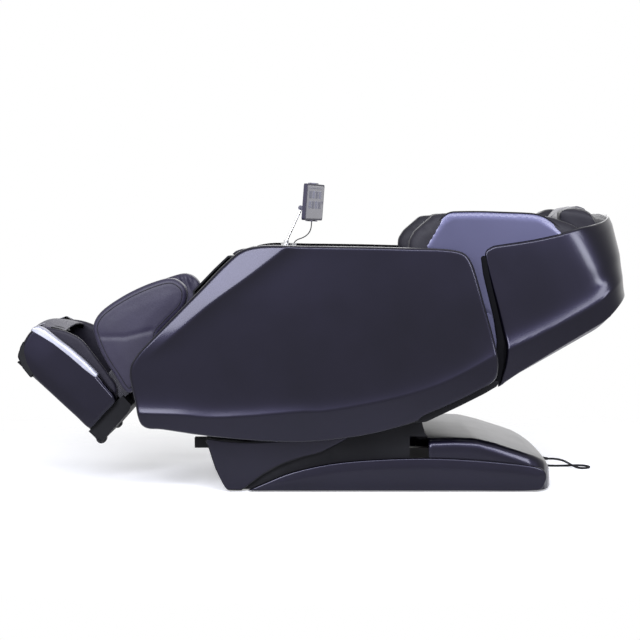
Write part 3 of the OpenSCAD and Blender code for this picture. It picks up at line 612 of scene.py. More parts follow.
both("side_shell", PANEL, panel_face, flat(345.2), paint, "chassis", "paint", "side_panel", step=6.5, radius=9,
     lines=[RIDGE, RIDGE + [-4, 4.3], RIDGE + [4, -4.3], CREASE, CREASE + [0, 5], CREASE - [0, 5]])

# ---------------------------------------------------------------- base

FLOOR_GAP = 5
FLANK = smooth_outline([[-361, 157], [-354, 134], [-333, 69], [-304, 12], [-297, 6.5], [-262, 6], [-251, 9],
    [-194, 51], [-141, 81], [-82, 102], [-20, 119], [60, 164], [40, 165], [-100, 156], [-240, 150],
    [-300, 153]], 6)
SIDE_COVER = smooth_outline([[-236, 6], [-233, 8], [-185, 29.5], [-112, 59], [7, 86], [154, 99.5],
    [331, 102.5], [508, 91], [620, 76], [641, 66], [648, 50], [643, 26], [632, 9], [606, 5.5], [400, 5],
    [100, 5], [-150, 5]], 7)
def cover_face(q, e):
    return 299.2 - 3.5 * step_up(40 - e, 0, 40) ** 2


both("base_flank", FLANK, flat(286.6), flat(281), paint, "base", "dark_plastic", radius=5)
both("base_cover", SIDE_COVER, cover_face, flat(286.4), paint, "base", "paint", "base_side", radius=5)


def dome_section(x):
    """(height in the middle, height at the side, half width) of the rear cover at x."""
    top = np.interp(x, [250, 300, 360, 434, 500, 536, 575, 612, 640, 655, 664, 671.5],
                    [157.5, 160, 161.5, 161.5, 150, 139, 127.5, 116, 102, 92, 81, 66])
    side = np.interp(x, [250, 300, 383, 451, 511, 560, 600, 628, 640, 655, 664, 671.5],
                     [149, 152.5, 156, 150, 129, 112, 97, 85, 78, 66, 54, 40])
    half = np.interp(x, [250, 600, 628, 645, 660, 671.5], [285.5, 285.5, 281, 270, 246, 205])
    return top, side, half


def dome():
    xs = np.concatenate([np.arange(300, 600, 10), np.arange(600, 640, 6), np.arange(640, 668, 3),
                         [669, 670.5, 671.6]])
    cols = 71
    rows = []
    for x in xs:
        top, side, half = dome_section(x)
        drop = top - (top - side) * 0.37
        row = []
        for u in np.linspace(-1, 1, cols):
            a = abs(u)
            if a < 0.6:
                f = a / 0.6
                y, z = f * (half - 26), top - (top - side) * (0.25 * f ** 2 + 0.12 * f ** 8)
            elif a < 0.84:
                f = (a - 0.6) / 0.24 * math.pi / 2
                y, z = half - 26 + 26 * math.sin(f), drop - (drop - side + 24) * (1 - math.cos(f))
            else:
                f = (a - 0.84) / 0.16
                y, z = half, (side - 24) * (1 - f) + FLOOR_GAP * f
            row.append([x, y * np.sign(u), z])
        rows.append(np.array(row))

    def drawn_in(row, wide, tall, x):
        return (row - [0, 0, FLOOR_GAP]) * [0, wide, tall] + [x, 0, FLOOR_GAP]

    rows.append(drawn_in(rows[-1], 0.97, 0.95, 672))
    rows.append(drawn_in(rows[-1], 0.02, 0.3, 672))
    first = drawn_in(rows[0], 0.995, 1, 299.2)
    rows = [first - [0, 0, 5], first] + rows
    o = mesh_object("base_rear_cover", np.vstack(rows), grid_faces(len(rows), cols), paint)
    weld(o)
    return o


put(dome(), "base", "paint", "base_dome")

# black strip along the lower rear edge of each side panel
SILL = [[498, 338], [492, 322], [455, 300], [386, 265], [287, 218], [254, 214], [254, 247], [327, 279],
    [443, 341]]
both("side_sill", rounded(SILL, 3, 4), flat(344.4), flat(336), black, "chassis", "dark_plastic", radius=3)

# ---------------------------------------------------------------- back shell

SIDE_TOP = catmull([[341, 256], [357, 256], [376, 249], [428, 228], [479, 209], [539, 190], [600, 171],
    [650, 158]], False)
SIDE_FRONT = catmull([[166, -110], [214, -66], [243, -22], [261, 35], [277, 90], [297, 165], [314, 222],
    [324, 246], [333, 254]], False)
def to_back(points):
    """World X-Z points in the back's own frame."""
    c, s = math.cos(math.radians(30)), math.sin(math.radians(30))
    return [[(x - 300) * c + (z - 330) * s, -(x - 300) * s + (z - 330) * c] for x, z in points]


CREASE_WORLD = [[470, 398], [531, 431], [599, 463], [703, 518], [790, 571], [816, 594], [850, 640]]
BACK_CREASE = catmull(to_back(CREASE_WORLD), False)


def back_shell():
    """Side covers and rear end of the back in one U-shaped shell with a rolled top edge."""
    nv, ns, nr = 60, 66, 40
    v = np.linspace(0, 1, nv)
    front = even(SIDE_FRONT, 4, False)
    front = np.stack([np.interp(v, np.linspace(0, 1, len(front)), front[:, k]) for k in (0, 1)], 1)
    xc = np.interp(v, [0, 0.3, 1], [508, 520, 540])
    top_z = np.interp(xc, SIDE_TOP[:, 0], SIDE_TOP[:, 1])[-1]
    bot_z = -98.0
    rear_z = bot_z + (top_z - bot_z) * v
    pts = np.zeros((nv, ns + nr, 3))
    top = even(SIDE_TOP, 4, False)
    for j in range(ns):
        u = (j / (ns - 1)) ** 0.9
        x = front[:, 0] * (1 - u) + xc * u
        zb = np.interp(x, [166, 200, 239, 375, 512], [-111, -107, -104, -100, -98])
        zt = np.interp(x, top[:, 0], top[:, 1])
        z_lin = front[:, 1] * (1 - u) + rear_z * u
        blend_top = (zt - (front[-1, 1] * (1 - u) + top_z * u)) * v ** 3
        blend_bot = (zb - (front[0, 1] * (1 - u) + bot_z * u)) * (1 - v) ** 3
        pts[:, j, 0] = x
        pts[:, j, 2] = z_lin + blend_top + blend_bot
    q = pts[:, :ns, [0, 2]].reshape(-1, 2)
    d, sd, _ = to_line(q, BACK_CREASE)
    above = d * sd
    flare = 3.7 * np.log1p(np.exp((34 - np.clip(above, 0, None)) / 10))
    below = 0.22 * (np.sqrt(above * above + 3) - above) / 2
    y = 319.5 + flare - below + 1.5 * step_up(q[:, 0], 330, 480)
    y = y.reshape(nv, ns) - 9 * v[:, None] ** 3
    y = y - roll_off(np.arange(ns)[None, :] * 5.0, 7) - 0.6 * roll_off((1 - v)[:, None] * 330, 7)
    pts[:, :ns, 1] = np.minimum(y, 334.6)
    reach = np.interp(v, [0, 0.08, 0.45, 0.86, 1], [650, 657, 698, 731, 736])
    drop_mid = np.interp(v, [0, 1], [-24, -42])
    squareness = np.interp(v, [0, 0.5, 1], [3.3, 3.1, 2.4])
    y_end = pts[:, ns - 1, 1]
    for j in range(nr):
        th = (j + 1) / nr * math.pi / 2
        cx, cy = math.sin(th) ** (2 / squareness), max(math.cos(th), 1e-9) ** (2 / squareness)
        x = xc + (reach - xc) * cx
        w = step_up(1 - cy, 0.0, 0.75)
        slope_top = np.interp(x, [540, 600, 650, 690], [top_z, 176, 160, 150]) - top_z
        z = rear_z + slope_top * v ** 2 * (1 - w) + w * (drop_mid * v ** 2)
        pts[:, ns + j] = np.stack([x, y_end * cy, z], 1)
    pts[:, ns + nr - 1, 1] = 0
    pts[:, :, 2] += 26 * (1 - v)[:, None] ** 2 * step_up(pts[:, :, 0], 510, 650)
    return pts


def tucked(row, inn, down):
    """A copy of a row along the shell's edge, moved in and down."""
    t = np.gradient(row[:, :2], axis=0)
    t /= np.maximum(np.linalg.norm(t, axis=1), 1e-9)[:, None]
    out = row + np.stack([t[:, 1] * inn, -t[:, 0] * inn, np.full(len(row), -float(down))], 1)
    out[:, 1] = np.maximum(out[:, 1], 0)
    out[-1, 1] = 0
    return out


def build_back_shell():
    pts = back_shell()
    lip = [tucked(pts[-1], inn, down) for inn, down in ((2.5, 0.6), (5, 2.2), (9, 4.5), (22, 7))]
    under = [tucked(pts[0], inn, down) for inn, down in ((8, 2.6), (3, 1.2))]
    half = np.concatenate([np.array(under), pts, np.array(lip)], 0)
    whole = np.concatenate([half, half[:, :-1][:, ::-1] * [1, -1, 1]], 1)

    def wall(column, dx, k):
        """The front edge's column, moved in by k and back by dx."""
        c = whole[:, column] + [dx, 0, 0]
        c[:, 1] -= np.sign(c[:, 1]) * k
        return c[:, None]

    whole = np.concatenate([wall(0, 6, 24), wall(0, 3, 16), whole, wall(-1, 3, 16), wall(-1, 6, 24)], 1)
    o = mesh_object("back_shell", in_back(whole.reshape(-1, 3)), grid_faces(len(half), whole.shape[1]), paint)
    weld(o)
    return o, whole[0, 2:-2]


shell, belly_edge = build_back_shell()
put(shell, "backrest", "paint", "back_side_left", "back_side_right", "back_cover")


def belly():
    """Underside of the back, between the lower edges of the shell."""
    keep = np.concatenate([[True], np.linalg.norm(np.diff(belly_edge[:, :2], axis=0), axis=1) > 1.5])
    edge = belly_edge[keep]
    rim = even(np.vstack([edge, edge[:1]]), 9, False)[:-1]
    if area2(rim[:, :2]) < 0:
        rim = rim[::-1]
    out = rim[:, :2]
    v, faces, ring = fill(out, 14, (4, 12))
    e, _, _ = to_line(v, out, True)
    deep = -127.4 + 28 * step_up(np.abs(v[:, 1]), 170, 335)
    deep = deep + 14 * (1 - step_up(v[:, 0], 150, 260)) + 26 * step_up(v[:, 0], 500, 640)
    near = np.argmin(((v[:, None, :] - out[None, ::3, :]) ** 2).sum(2), 1)
    w = step_up(e, 0, 60)
    z = rim[::3][near][:, 2] * (1 - w) + deep * w
    z[ring] = rim[:, 2]
    z = np.maximum(z, -127.8)
    o = mesh_object("back_belly", in_back(np.stack([v[:, 0], v[:, 1], z], 1)), faces, plum_plastic)
    weld(o)
    return o


put(belly(), "backrest", "paint")

# ---------------------------------------------------------------- soft goods


def prism(bm, outline, y0, y1):
    p = np.asarray(outline, float) * MM
    if area2(p) < 0:
        p = p[::-1]
    a = [bm.verts.new((x, y0 * MM, z)) for x, z in p]
    b = [bm.verts.new((x, y1 * MM, z)) for x, z in p]
    bm.faces.new(a)
    bm.faces.new(list(reversed(b)))
    n = len(p)
    for i in range(n):
        j = (i + 1) % n
        bm.faces.new((a[j], a[i], b[i], b[j]))


def evaluated(obj):
    """Apply the object's modifiers to its mesh and keep its material."""
    mat = obj.data.materials[0]
    graph = bpy.context.evaluated_depsgraph_get()
    mesh = bpy.data.meshes.new_from_object(obj.evaluated_get(graph))
    mesh.materials.clear()
    mesh.materials.append(mat)
    obj.modifiers.clear()
    old = obj.data
    obj.data = mesh
    bpy.data.meshes.remove(old)


def coords(obj):
    co = np.empty(len(obj.data.vertices) * 3)
    obj.data.vertices.foreach_get("co", co)
    return co.reshape(-1, 3)


def set_coords(obj, co):
    obj.data.vertices.foreach_set("co", np.asarray(co, float).ravel())
    obj.data.update()


def normals(obj):
    n = np.empty(len(obj.data.vertices) * 3)
    obj.data.vertex_normals.foreach_get("vector", n)
    return n.reshape(-1, 3)


def swell(obj, cap, held):
    """Blow the cover up from inside with cloth pressure, no point moving further than cap."""
    rest = coords(obj)
    m = obj.modifiers.new("cover", "CLOTH")
    s = m.settings
    s.quality = 5
    s.mass = 0.3
    s.tension_stiffness = 12
    s.compression_stiffness = 12
    s.shear_stiffness = 6
    s.bending_stiffness = 0.8
    s.use_pressure = True
    s.uniform_pressure_force = 4.0
    s.effector_weights.gravity = 0
    if held is not None:
        group = obj.vertex_groups.new(name="held")
        group.add([int(i) for i in np.nonzero(held(rest))[0]], 1.0, "REPLACE")
        s.vertex_group_mass = "held"
    m.point_cache.frame_start = 1
    m.point_cache.frame_end = 20
    for f in range(1, 21):
        scene.frame_set(f)
    evaluated(obj)
    scene.frame_set(1)
    move = coords(obj) - rest
    far = np.linalg.norm(move, axis=1)
    keep = np.where(far > cap, cap / np.maximum(far, 1e-9), 1.0)
    set_coords(obj, rest + move * keep[:, None])


def cushion(name, parts, mat, place=world, cap=0.012, voxel=0.006, soften=5, channels=(), creases=0.0,
            held=None):
    """A stuffed piece over prisms (outline, y0, y1), swollen by cloth pressure, then sewn along its channels.
    A channel is (axis, place, width, depth, up): a groove across the side that faces up."""
    bm = bmesh.new()
    for outline, y0, y1 in parts:
        prism(bm, outline, y0, y1)
    bmesh.ops.recalc_face_normals(bm, faces=bm.faces)
    mesh = bpy.data.meshes.new(name)
    bm.to_mesh(mesh)
    bm.free()
    obj = link(name, mesh, mat)
    remesh = obj.modifiers.new("even", "REMESH")
    remesh.mode = "VOXEL"
    remesh.voxel_size = voxel
    evaluated(obj)
    bm = bmesh.new()
    bm.from_mesh(obj.data)
    for _ in range(soften):
        bmesh.ops.smooth_vert(bm, verts=bm.verts, factor=0.5, use_axis_x=True, use_axis_y=True,
                              use_axis_z=True)
    bm.to_mesh(obj.data)
    bm.free()
    swell(obj, cap, held)
    sub = obj.modifiers.new("fine", "SUBSURF")
    sub.levels = sub.render_levels = 1
    evaluated(obj)
    co, n = coords(obj), normals(obj)
    for axis, at, width, depth, up in channels:
        d = (co[:, axis] - at * MM) / (width * MM)
        side = np.clip(n @ np.array(up, float), 0, 1)
        co = co - n * (depth * MM * np.exp(-d * d) * side ** 0.5)[:, None]
    if creases:
        x, y, z = co.T
        wave = np.sin(x * 61 + 2.1 * np.sin(y * 33)) * np.sin(y * 47 + z * 71 + 1.3)
        co = co + n * (creases * MM * wave)[:, None]
    set_coords(obj, place(co / MM) * MM)
    obj.data.shade_smooth()
    return obj


def tube(name, points, radius, mat, sides=8, closed=False):
    """A round bead along points in mm, ended in small domes."""
    p = np.asarray(points, float)
    t = np.roll(p, -1, axis=0) - np.roll(p, 1, axis=0) if closed else np.gradient(p, axis=0)
    t /= np.maximum(np.linalg.norm(t, axis=1), 1e-9)[:, None]
    u = np.cross(t[0], [0.0, 0, 1] if abs(t[0, 2]) < 0.9 else [1.0, 0, 0])
    around = np.linspace(0, 2 * math.pi, sides, endpoint=False)
    rings = []
    for along in t:
        u = u - along * (u @ along)
        u /= np.linalg.norm(u)
        w = np.cross(along, u)
        rings.append([np.cos(k) * u + np.sin(k) * w for k in around])
    rings = np.array(rings) * radius
    ends = []
    for i in (0, -1):
        out = t[i] * radius * (1 if i else -1)
        ends.append([p[i] + out * 0.6 + rings[i] * 0.8, p[i] + out * 0.93 + rings[i] * 0.35])
    rings = list(rings + p[:, None, :])
    if closed:
        rings.append(rings[0])
    else:
        rings = ends[0][::-1] + rings + ends[1]
    verts = np.array(rings).reshape(-1, 3)
    faces = grid_faces(len(rings), sides, True)
    if not closed:
        faces.append(tuple(range(sides)))
        faces.append(tuple(reversed(range(len(verts) - sides, len(verts)))))
    o = mesh_object(name, verts, faces, mat)
    if closed:
        weld(o)
    return o


def stitches(name, points, normal, body, length=5.5, gap=3.0, thick=1.1):
    """A row of single stitches along points in mm, lying on a surface whose outward direction is normal."""
    p = even(points, 1.0, False)
    nrm = np.asarray(normal, float)
    nrm /= np.linalg.norm(nrm)
    verts, faces = [], []
    for k in range(0, len(p) - int(length), int(round(length + gap))):
        a, b = p[k], p[k + int(length)]
        t = b - a
        if np.linalg.norm(t) < 1e-6:
            continue
        w = np.cross(t / np.linalg.norm(t), nrm)
        w /= max(np.linalg.norm(w), 1e-9)
        base = len(verts)
        for s, lift, half in ((0.0, -0.5, 0.25), (0.2, 0.45, 0.5), (0.8, 0.45, 0.5), (1.0, -0.5, 0.25)):
            c = a + t * s + nrm * thick * lift
            for du, dv in ((-1, -1), (1, -1), (1, 1), (-1, 1)):
                verts.append(c + (w * du + nrm * dv) * half * thick)
        faces += [tuple(base + i for i in f) for f in grid_faces(4, 4, True)]
        faces.append((base, base + 3, base + 2, base + 1))
        faces.append((base + 12, base + 13, base + 14, base + 15))
    put(mesh_object(name, verts, faces, thread), body)


def on_surface(obj, starts, direction, lift=0.0):
    """The first points in mm where rays from starts meet obj, with lift along the way back."""
    faces = [tuple(p.vertices) for p in obj.data.polygons]
    tree = BVHTree.FromPolygons([v.co for v in obj.data.vertices], faces)
    d = Vector(direction).normalized()
    out = []
    for s in np.asarray(starts, float) * MM:
        hit, _, _, _ = tree.ray_cast(Vector(s), d)
        if hit is not None:
            out.append(np.array(hit) / MM - np.array(d) * lift)
    return np.array(out)


def turned(place, v):
    """A direction of a local frame, in the world."""
    a, b = place(np.array([[0.0, 0, 0]]))[0], place(np.array([list(v)], float))[0]
    return b - a


def crossing(name, profile, half, mat, body, sag=0.0, place=in_leg, n=41, turn=10.0, thick=4.0):
    """A band across the chair over an X-Z profile, with its ends turned down and its edges closed."""
    p = np.asarray(profile, float)
    t = np.gradient(p, axis=0)
    t /= np.linalg.norm(t, axis=1)[:, None]
    nrm = np.stack([-t[:, 1], t[:, 0]], 1)
    ys = np.linspace(-half, half, n)
    top, low = [], []
    for y in ys:
        e = half - abs(y)
        d = -roll_off(e, turn) - sag * math.cos(y / half * math.pi / 2)
        q = p + nrm * d
        top.append(np.stack([q[:, 0], np.full(len(q), y), q[:, 1]], 1))
        q = q - nrm * thick
        low.append(np.stack([q[:, 0], np.full(len(q), y), q[:, 1]], 1))
    m = len(p)
    verts = np.vstack(top + low)
    faces = grid_faces(n, m)
    off = n * m
    faces += [tuple(off + k for k in reversed(f)) for f in grid_faces(n, m)]
    for i in range(n - 1):
        for j in (0, m - 1):
            f = (i * m + j, (i + 1) * m + j, off + (i + 1) * m + j, off + i * m + j)
            faces.append(f if j else tuple(reversed(f)))
    for j in range(m - 1):
        faces.append((j, j + 1, off + j + 1, off + j))
        k = (n - 1) * m
        faces.append((k + j + 1, k + j, off + k + j, off + k + j + 1))
    o = mesh_object(name, place(verts), faces, mat)
    weld(o)
    if body:
        put(o, body)
    return o


def box2(a, b):
    """X-Z outline of a block and its Y range, for cushion()."""
    return ([[a[0], a[2]], [b[0], a[2]], [b[0], b[2]], [a[0], b[2]]], a[1], b[1])


# seat
UP = (0, 0, 1)
SEAT_GROOVES = [(1, -118, 7, 9, UP), (1, 118, 7, 9, UP), (0, -185, 8, 8, UP), (0, -335, 8, 8, UP),
                (0, -470, 8, 7, UP)]
seat = cushion("seat_pad", [box2([-466, -226, -3], [-28, 226, 50]), box2([-560, -170, -3], [-460, 170, 46])],
               hide, in_seat, 0.022, 0.006, 6, SEAT_GROOVES, 0.5, lambda c: c[:, 2] < 0.0)
soft(seat, "chassis", 0.7, "seat_cushion")
for i, y in enumerate((-113, 113)):
    line = in_seat(np.array([[x, y, 120.0] for x in np.linspace(-455, -45, 60)]))
    pts = on_surface(seat, line, turned(in_seat, (0, 0, -1)), 0.2)
    stitches(f"seat_stitch_{i}", pts, turned(in_seat, UP), "chassis")

# back cushion
BACK_GROOVES = [(0, x, 8, 10, UP) for x in (160, 255, 350, 445)] + [(1, y, 7, 7, UP) for y in (-150, 150)]
back = cushion("back_pad", [box2([70, -226, 68.5], [620, 226, 100])], hide, in_back, 0.014, 0.006, 6,
               BACK_GROOVES, 0.5, lambda c: c[:, 2] < 0.072)
soft(back, "backrest", 0.7, "back_cushion")
for i, y in enumerate((-144, 144)):
    line = in_back(np.array([[x, y, 160.0] for x in np.linspace(95, 445, 60)]))
    pts = on_surface(back, line, turned(in_back, (0, 0, -1)), 0.2)
    stitches(f"back_stitch_{i}", pts, turned(in_back, UP), "backrest")

# head pillow, with a sewn seam across and a flap that folds back over its top end
PILLOW = [[462, 115], [471, 140], [541, 159], [600, 216], [635, 229], [658, 222], [680, 197], [633, 184],
    [624, 115]]
pillow = cushion("head_pad", [(PILLOW, -133, 133)], hide_smooth, in_back, 0.008, 0.005, 5,
                 [(1, 0, 6, 5, UP), (0, 552, 7, 5, (-0.4, 0, 0.9))], 0.9)
soft(pillow, "backrest", 0.6, "head_pillow")

# soft cap over the top end of the back, hollow behind the pillow
CAP_ROLL = [[570, 168], [572, 214], [586, 238], [606, 236], [636, 219], [682, 188], [696, 160], [680, 140],
    [640, 116]]
CAP_END = [[641, 109], [642, 172], [716, 153], [736, 135], [734, 109]]
CAP_PARTS = [([[639, 109], [639, 173], [650, 172], [650, 116]], -236, 236),
             ([[639, 163], [641, 175], [717, 155], [714, 144]], -236, 236),
             ([[708, 152], [718, 154], [738, 136], [736, 110], [725, 110], [726, 132]], -236, 236),
             (CAP_END, -236, -224), (CAP_END, 224, 236), (CAP_ROLL, -238, -176), (CAP_ROLL, 176, 238)]


def cap_place(p):
    """The cap follows the back's rounded end, with shallow gathers in its top."""
    x, y, z = p.T
    pulled = x - 56 * (np.abs(y) / 236) ** 2 * step_up(x, 645, 735)
    gathers = 2.2 * np.sin(x / 13 + np.abs(y) / 21) * step_up(z, 150, 185)
    return in_back(np.stack([pulled, y, z + gathers], 1))


cap = cushion("top_cap", CAP_PARTS, hide_dark, cap_place, 0.005, 0.0055, 3, [], 1.2)
soft(cap, "backrest", 0.4, "rear_cap")

# arm pads
ARM_PAD = [[-283, 705], [-268, 714], [-254, 718.5], [-22, 718.5], [-10, 714], [-7, 705]]
for word, s in SIDES:
    y0, y1 = sorted((s * 263.5, s * 338))
    o = cushion(f"arm_rest_{word}", [(ARM_PAD, y0, y1)], hide, world, 0.004, 0.005, 3)
    soft(o, "chassis", 0.8, f"arm_pad_{word}")
    for k, y in enumerate((271.5, 330)):
        pts = on_surface(o, [[x, s * y, 760] for x in np.linspace(-262, -20, 80)], (0, 0, -1), 0.2)
        stitches(f"arm_stitch_{word}_{k}", pts, UP, "chassis", 4.5, 2.5, 0.9)

# shoulder wings: a stuffed leather body, and a moulded panel let into its outer face
WING = [[210, 12], [136, 372], [152, 398], [181, 414], [253, 428], [343, 386], [425, 331], [551, 249],
    [597, 196], [622, 145], [624, 110], [574, 103], [574, 12]]
WING_PANEL = [[176, 353], [205, 371], [229, 384], [255, 397], [277, 403], [292, 404], [305, 400],
    [345, 378], [386, 354], [474, 299], [503, 280], [517, 268], [531, 252], [540, 234], [552, 205],
    [560, 186], [566, 120], [560, 60], [400, 30], [262, 30], [245, 60], [227, 120], [210, 200], [188, 300]]
WING_EDGE = rounded(WING_PANEL, 14, 6)
for word, s in SIDES:
    y0, y1 = sorted((s * 247, s * 299.5))
    o = cushion(f"wing_pad_{word}", [(WING, y0, y1)], hide_dark, in_back, 0.006, 0.006, 7, [], 0.3)
    soft(o, "backrest", 0.6, f"wing_{word}")
    bead = np.stack([WING_EDGE[:, 0], np.full(len(WING_EDGE), s * 301.6), WING_EDGE[:, 1]], 1)
    put(tube(f"wing_piping_{word}", in_back(bead), 2.1, black, 8, True), "backrest")
# the wing panels take the lightened wing paint, a painted highlight
both("wing_panel", WING_EDGE, lambda q, e: 307.0 - 4.0 * step_up(16 - e, 0, 15), flat(295), wing_paint_painted_highlight,
     "backrest", "paint", place=in_back, step=10, radius=4)

# black plate in the gap in front of the side covers of the back: painted shade for the shadow in the gap,
# together with the covers' black front flange
GAP_SHADE_PLATE = [[446, 700], [461, 702], [488, 640], [500, 560], [530, 460], [540, 385], [522, 345], [504, 325],
    [491, 324], [493, 400], [495, 455], [486, 514], [468, 587], [453, 648]]
both("back_gap_shade_plate", rounded(to_back(GAP_SHADE_PLATE), 6, 6), flat(311), flat(300), painted_shade_black, "backrest", place=in_back,
     step=12, radius=3)

# lower tail of the shoulder wing, between the side panel and the gap
TAIL = [[483, 535], [488, 514], [497, 455], [500, 420], [486, 409], [474, 440], [462, 500], [458, 535]]
# the tail takes the same lightened wing paint, a painted highlight
both("wing_tail", rounded(to_back(TAIL), 5, 5), flat(306), flat(301), wing_paint_painted_highlight, "backrest", "paint",
     place=in_back, step=8, radius=3)

# lining beside the seat, and the cover that joins the seat to the back
for word, s in SIDES:
    rows = []
    for x in np.linspace(5, 418, 30):
        low, high = 505 - (x - 5) * 0.235, 642 - (x - 5) * 0.30
        u = np.linspace(0, 1, 16)
        puff = 3.5 * np.abs(np.sin((x - 5) / 413 * math.pi * 4)) * np.sin(u * math.pi)
        rows.append(np.stack([np.full(16, x), s * (236 + 104 * u), low + (high - low) * u ** 1.8 + puff], 1))
    o = mesh_object(f"side_lining_{word}", np.vstack(rows), grid_faces(30, 16), hide_dark)
    weld(o)
    thick = o.modifiers.new("foam", "SOLIDIFY")
    thick.thickness = 0.006
    thick.offset = -1 if s < 0 else 1
    sub = o.modifiers.new("fine", "SUBSURF")
    sub.levels = sub.render_levels = 1
    evaluated(o)
    o.data.shade_smooth()
    soft(o, "chassis", 0.2)

a, b = in_seat([[-44, 0, 47]])[0], in_back([[92, 0, 98]])[0]
dip = [[a[0], a[2]], [a[0] + 22, a[2] - 14], [(a[0] + b[0]) / 2, min(a[2], b[2]) - 24],
       [b[0] - 24, b[2] - 12], [b[0], b[2]]]
bridge = crossing("seat_to_back", even(catmull(dip, False), 6, False), 219, hide, None, 0.0, world, 45, 12, 6)
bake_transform(bridge)

# ---------------------------------------------------------------- leg rest

CALF = smooth_outline([[-251, -10], [-240, 60], [-222, 125], [-194, 182], [-175, 205], [-137, 216],
    [-51, 200], [44, 161], [87, 131], [98, 104], [93, 74], [58, 48], [-20, 46], [-62, 44], [-86, 14],
    [-110, -10], [-180, -12]], 6)


def calf_outer(q, e):
    fold = to_line(q, [[-206, 196], [-174, 156], [-134, 113], [-66, 68]])[0]
    band = step_up(e, 11, 17)
    seam = 1.8 * np.exp(-((e - 14) / 2.6) ** 2)
    return 246.5 + 2.2 * band * step_up(e, 16, 60) - 2.6 * np.exp(-(fold / 7) ** 2) * band - seam


def calf_inner(q, e):
    pleat = step_up(q[:, 0], -90, 0) * step_up(q[:, 1], 60, 110)
    wave = np.sin((q[:, 0] * 0.85 - q[:, 1] * 0.5) / 24 * 2 * math.pi)
    return 187 + roll_off(e, 16) + 3.4 * pleat * wave * step_up(e, 0, 10)


seam = even(inset(CALF, 14.0), 4)
seam_y = calf_outer(seam, np.full(len(seam), 14.0)) + 0.6
for word, s in SIDES:
    o = panel(f"calf_side_{word}", CALF, calf_outer, flat(205), hide_smooth, in_leg, s, 5.5, 15,
              back_face=calf_inner)
    soft(o, "legrest", 0.7, f"calf_pad_{word}")
    line = in_leg(np.stack([seam[:, 0], s * seam_y, seam[:, 1]], 1))
    put(tube(f"calf_piping_{word}", line, 1.5, hide_dark, 6, True), "legrest")

CALF_DIVIDER = [[-234, 40], [-227, 114], [-188, 125], [-103, 107], [-76, 40]]
o = cushion("calf_bed", [box2([-242, -176, 18], [-68, 176, 38]), (CALF_DIVIDER, -32, 32)], hide, in_leg, 0.006,
            0.005, 5, [(1, -104, 6, 4, UP), (1, 104, 6, 4, UP)], 0.4)
soft(o, "legrest", 0.7, "calf_cushion")

# ---------------------------------------------------------------- foot rest

FOOT = smooth_outline([[-413, 6], [-414, 60], [-414, 150], [-412, 235], [-406, 279], [-384, 311],
    [-352, 326], [-315, 331], [-290, 323], [-282, 300], [-277, 250], [-273, 205], [-271, 150], [-275, 97],
    [-283, 50], [-288, 12], [-300, 3], [-350, 2], [-404, 2]], 6)


def foot_face(q, e):
    hollow = to_line(q, [[-420, 20], [-370, 140], [-350, 240], [-360, 330]])[0]
    ends = 3.5 * step_up(q[:, 1], 230, 330) + 2.2 * (1 - step_up(q[:, 0], -412, -372))
    return 233.6 - ends + 0.8 * np.exp(-(hollow / 40) ** 2)


STRIP = [[-299, 332], [-288, 325.5], [-280.5, 301], [-275.5, 250], [-271.5, 205], [-269.5, 150],
    [-272.5, 97], [-279, 90], [-287, 99], [-290.5, 136], [-292, 192], [-297, 255], [-306, 300],
    [-314, 333]]
BUMPER = [[-420, 236], [-414, 276], [-394, 309], [-373, 322], [-354, 327], [-358, 315], [-373, 303],
    [-392, 275], [-404, 240]]
def strip_face(q, e):
    """The silver strip rolls over the foot shell's calf-side edge."""
    edge = np.interp(q[:, 1], [90, 97, 150, 205, 250, 301, 326, 333],
                     [-276, -272.5, -269.5, -271.5, -275.5, -280.5, -288, -299])
    return foot_face(q, e) + 1.3 - 6 * step_up(q[:, 0] - edge, -8, 1)


both("foot_shell", FOOT, foot_face, flat(205.6), paint, "footrest", "paint", "foot_side", place=in_leg, step=7,
     radius=10)
both("foot_strip", rounded(STRIP, 4, 4), strip_face, flat(216), silver, "footrest", "silver_plastic",
     place=in_leg, step=3.2, radius=1.6)
both("foot_bumper", rounded(BUMPER, 3, 4), flat(231.5), flat(204), rubber, "footrest", "rubber", place=in_leg,
     step=7, radius=3)
line = np.array([[-287, 96], [-290, 70], [-293, 45], [-296, 20]])
line_y = foot_face(line, None) + 0.2
for word, s in SIDES:
    pts = even(np.stack([line[:, 0], s * line_y, line[:, 1]], 1), 5, False)
    put(tube(f"foot_line_{word}", in_leg(pts), 0.9, grey_plastic, 6), "footrest")


TOE = even(catmull([[-411, 296], [-405, 310], [-382, 322], [-341, 331], [-322, 332.5], [-306, 332.5]],
    False), 4, False)
crossing("toe_cover", TOE, 205, paint, "footrest", 0.0, in_leg, 31, 0.5)
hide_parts("toe_cap")
HOOD = even(catmull([[-341, 331.5], [-322, 335], [-303, 328], [-286, 309], [-270, 284], [-258, 262]],
    False), 4, False)
hood = crossing("toe_hood", HOOD, 176, hide_smooth, "footrest", -13.0, in_leg, 45, 12, 6)
RIM = even(catmull([[-314, 334.4], [-304, 333.6], [-292, 328.5]], False), 3, False)
crossing("toe_strip", RIM, 231, silver, "footrest", 0.0, in_leg, 31, 3, 2)
for k, y in enumerate((-178, -128)):
    strap = even(catmull([[-276, 296], [-268, 284], [-259, 266], [-254, 252]], False), 3, False) + [3, 3]
    crossing(f"hood_strap_{k}", strap, 9, black, "footrest", 0.0, lambda q, y=y: in_leg(q + [0, y, 0]),
             5, 1.2, 2.6)

FOOT_PAD = smooth_outline([[-384, 30], [-386, 160], [-383, 270], [-352, 314], [-318, 325], [-292, 314],
    [-262, 278], [-243, 236], [-237, 203], [-244, 150], [-257, 82], [-272, 30], [-300, 12], [-340, 12]], 6)
for word, s in SIDES:
    o = panel(f"foot_inner_{word}", FOOT_PAD, flat(203.4), flat(194), hide, in_leg, s, 7, 8,
              back_face=lambda q, e: 180 + roll_off(e, 13) - 2.0 * step_up(e, 0, 50))
    soft(o, "footrest", 0.6)

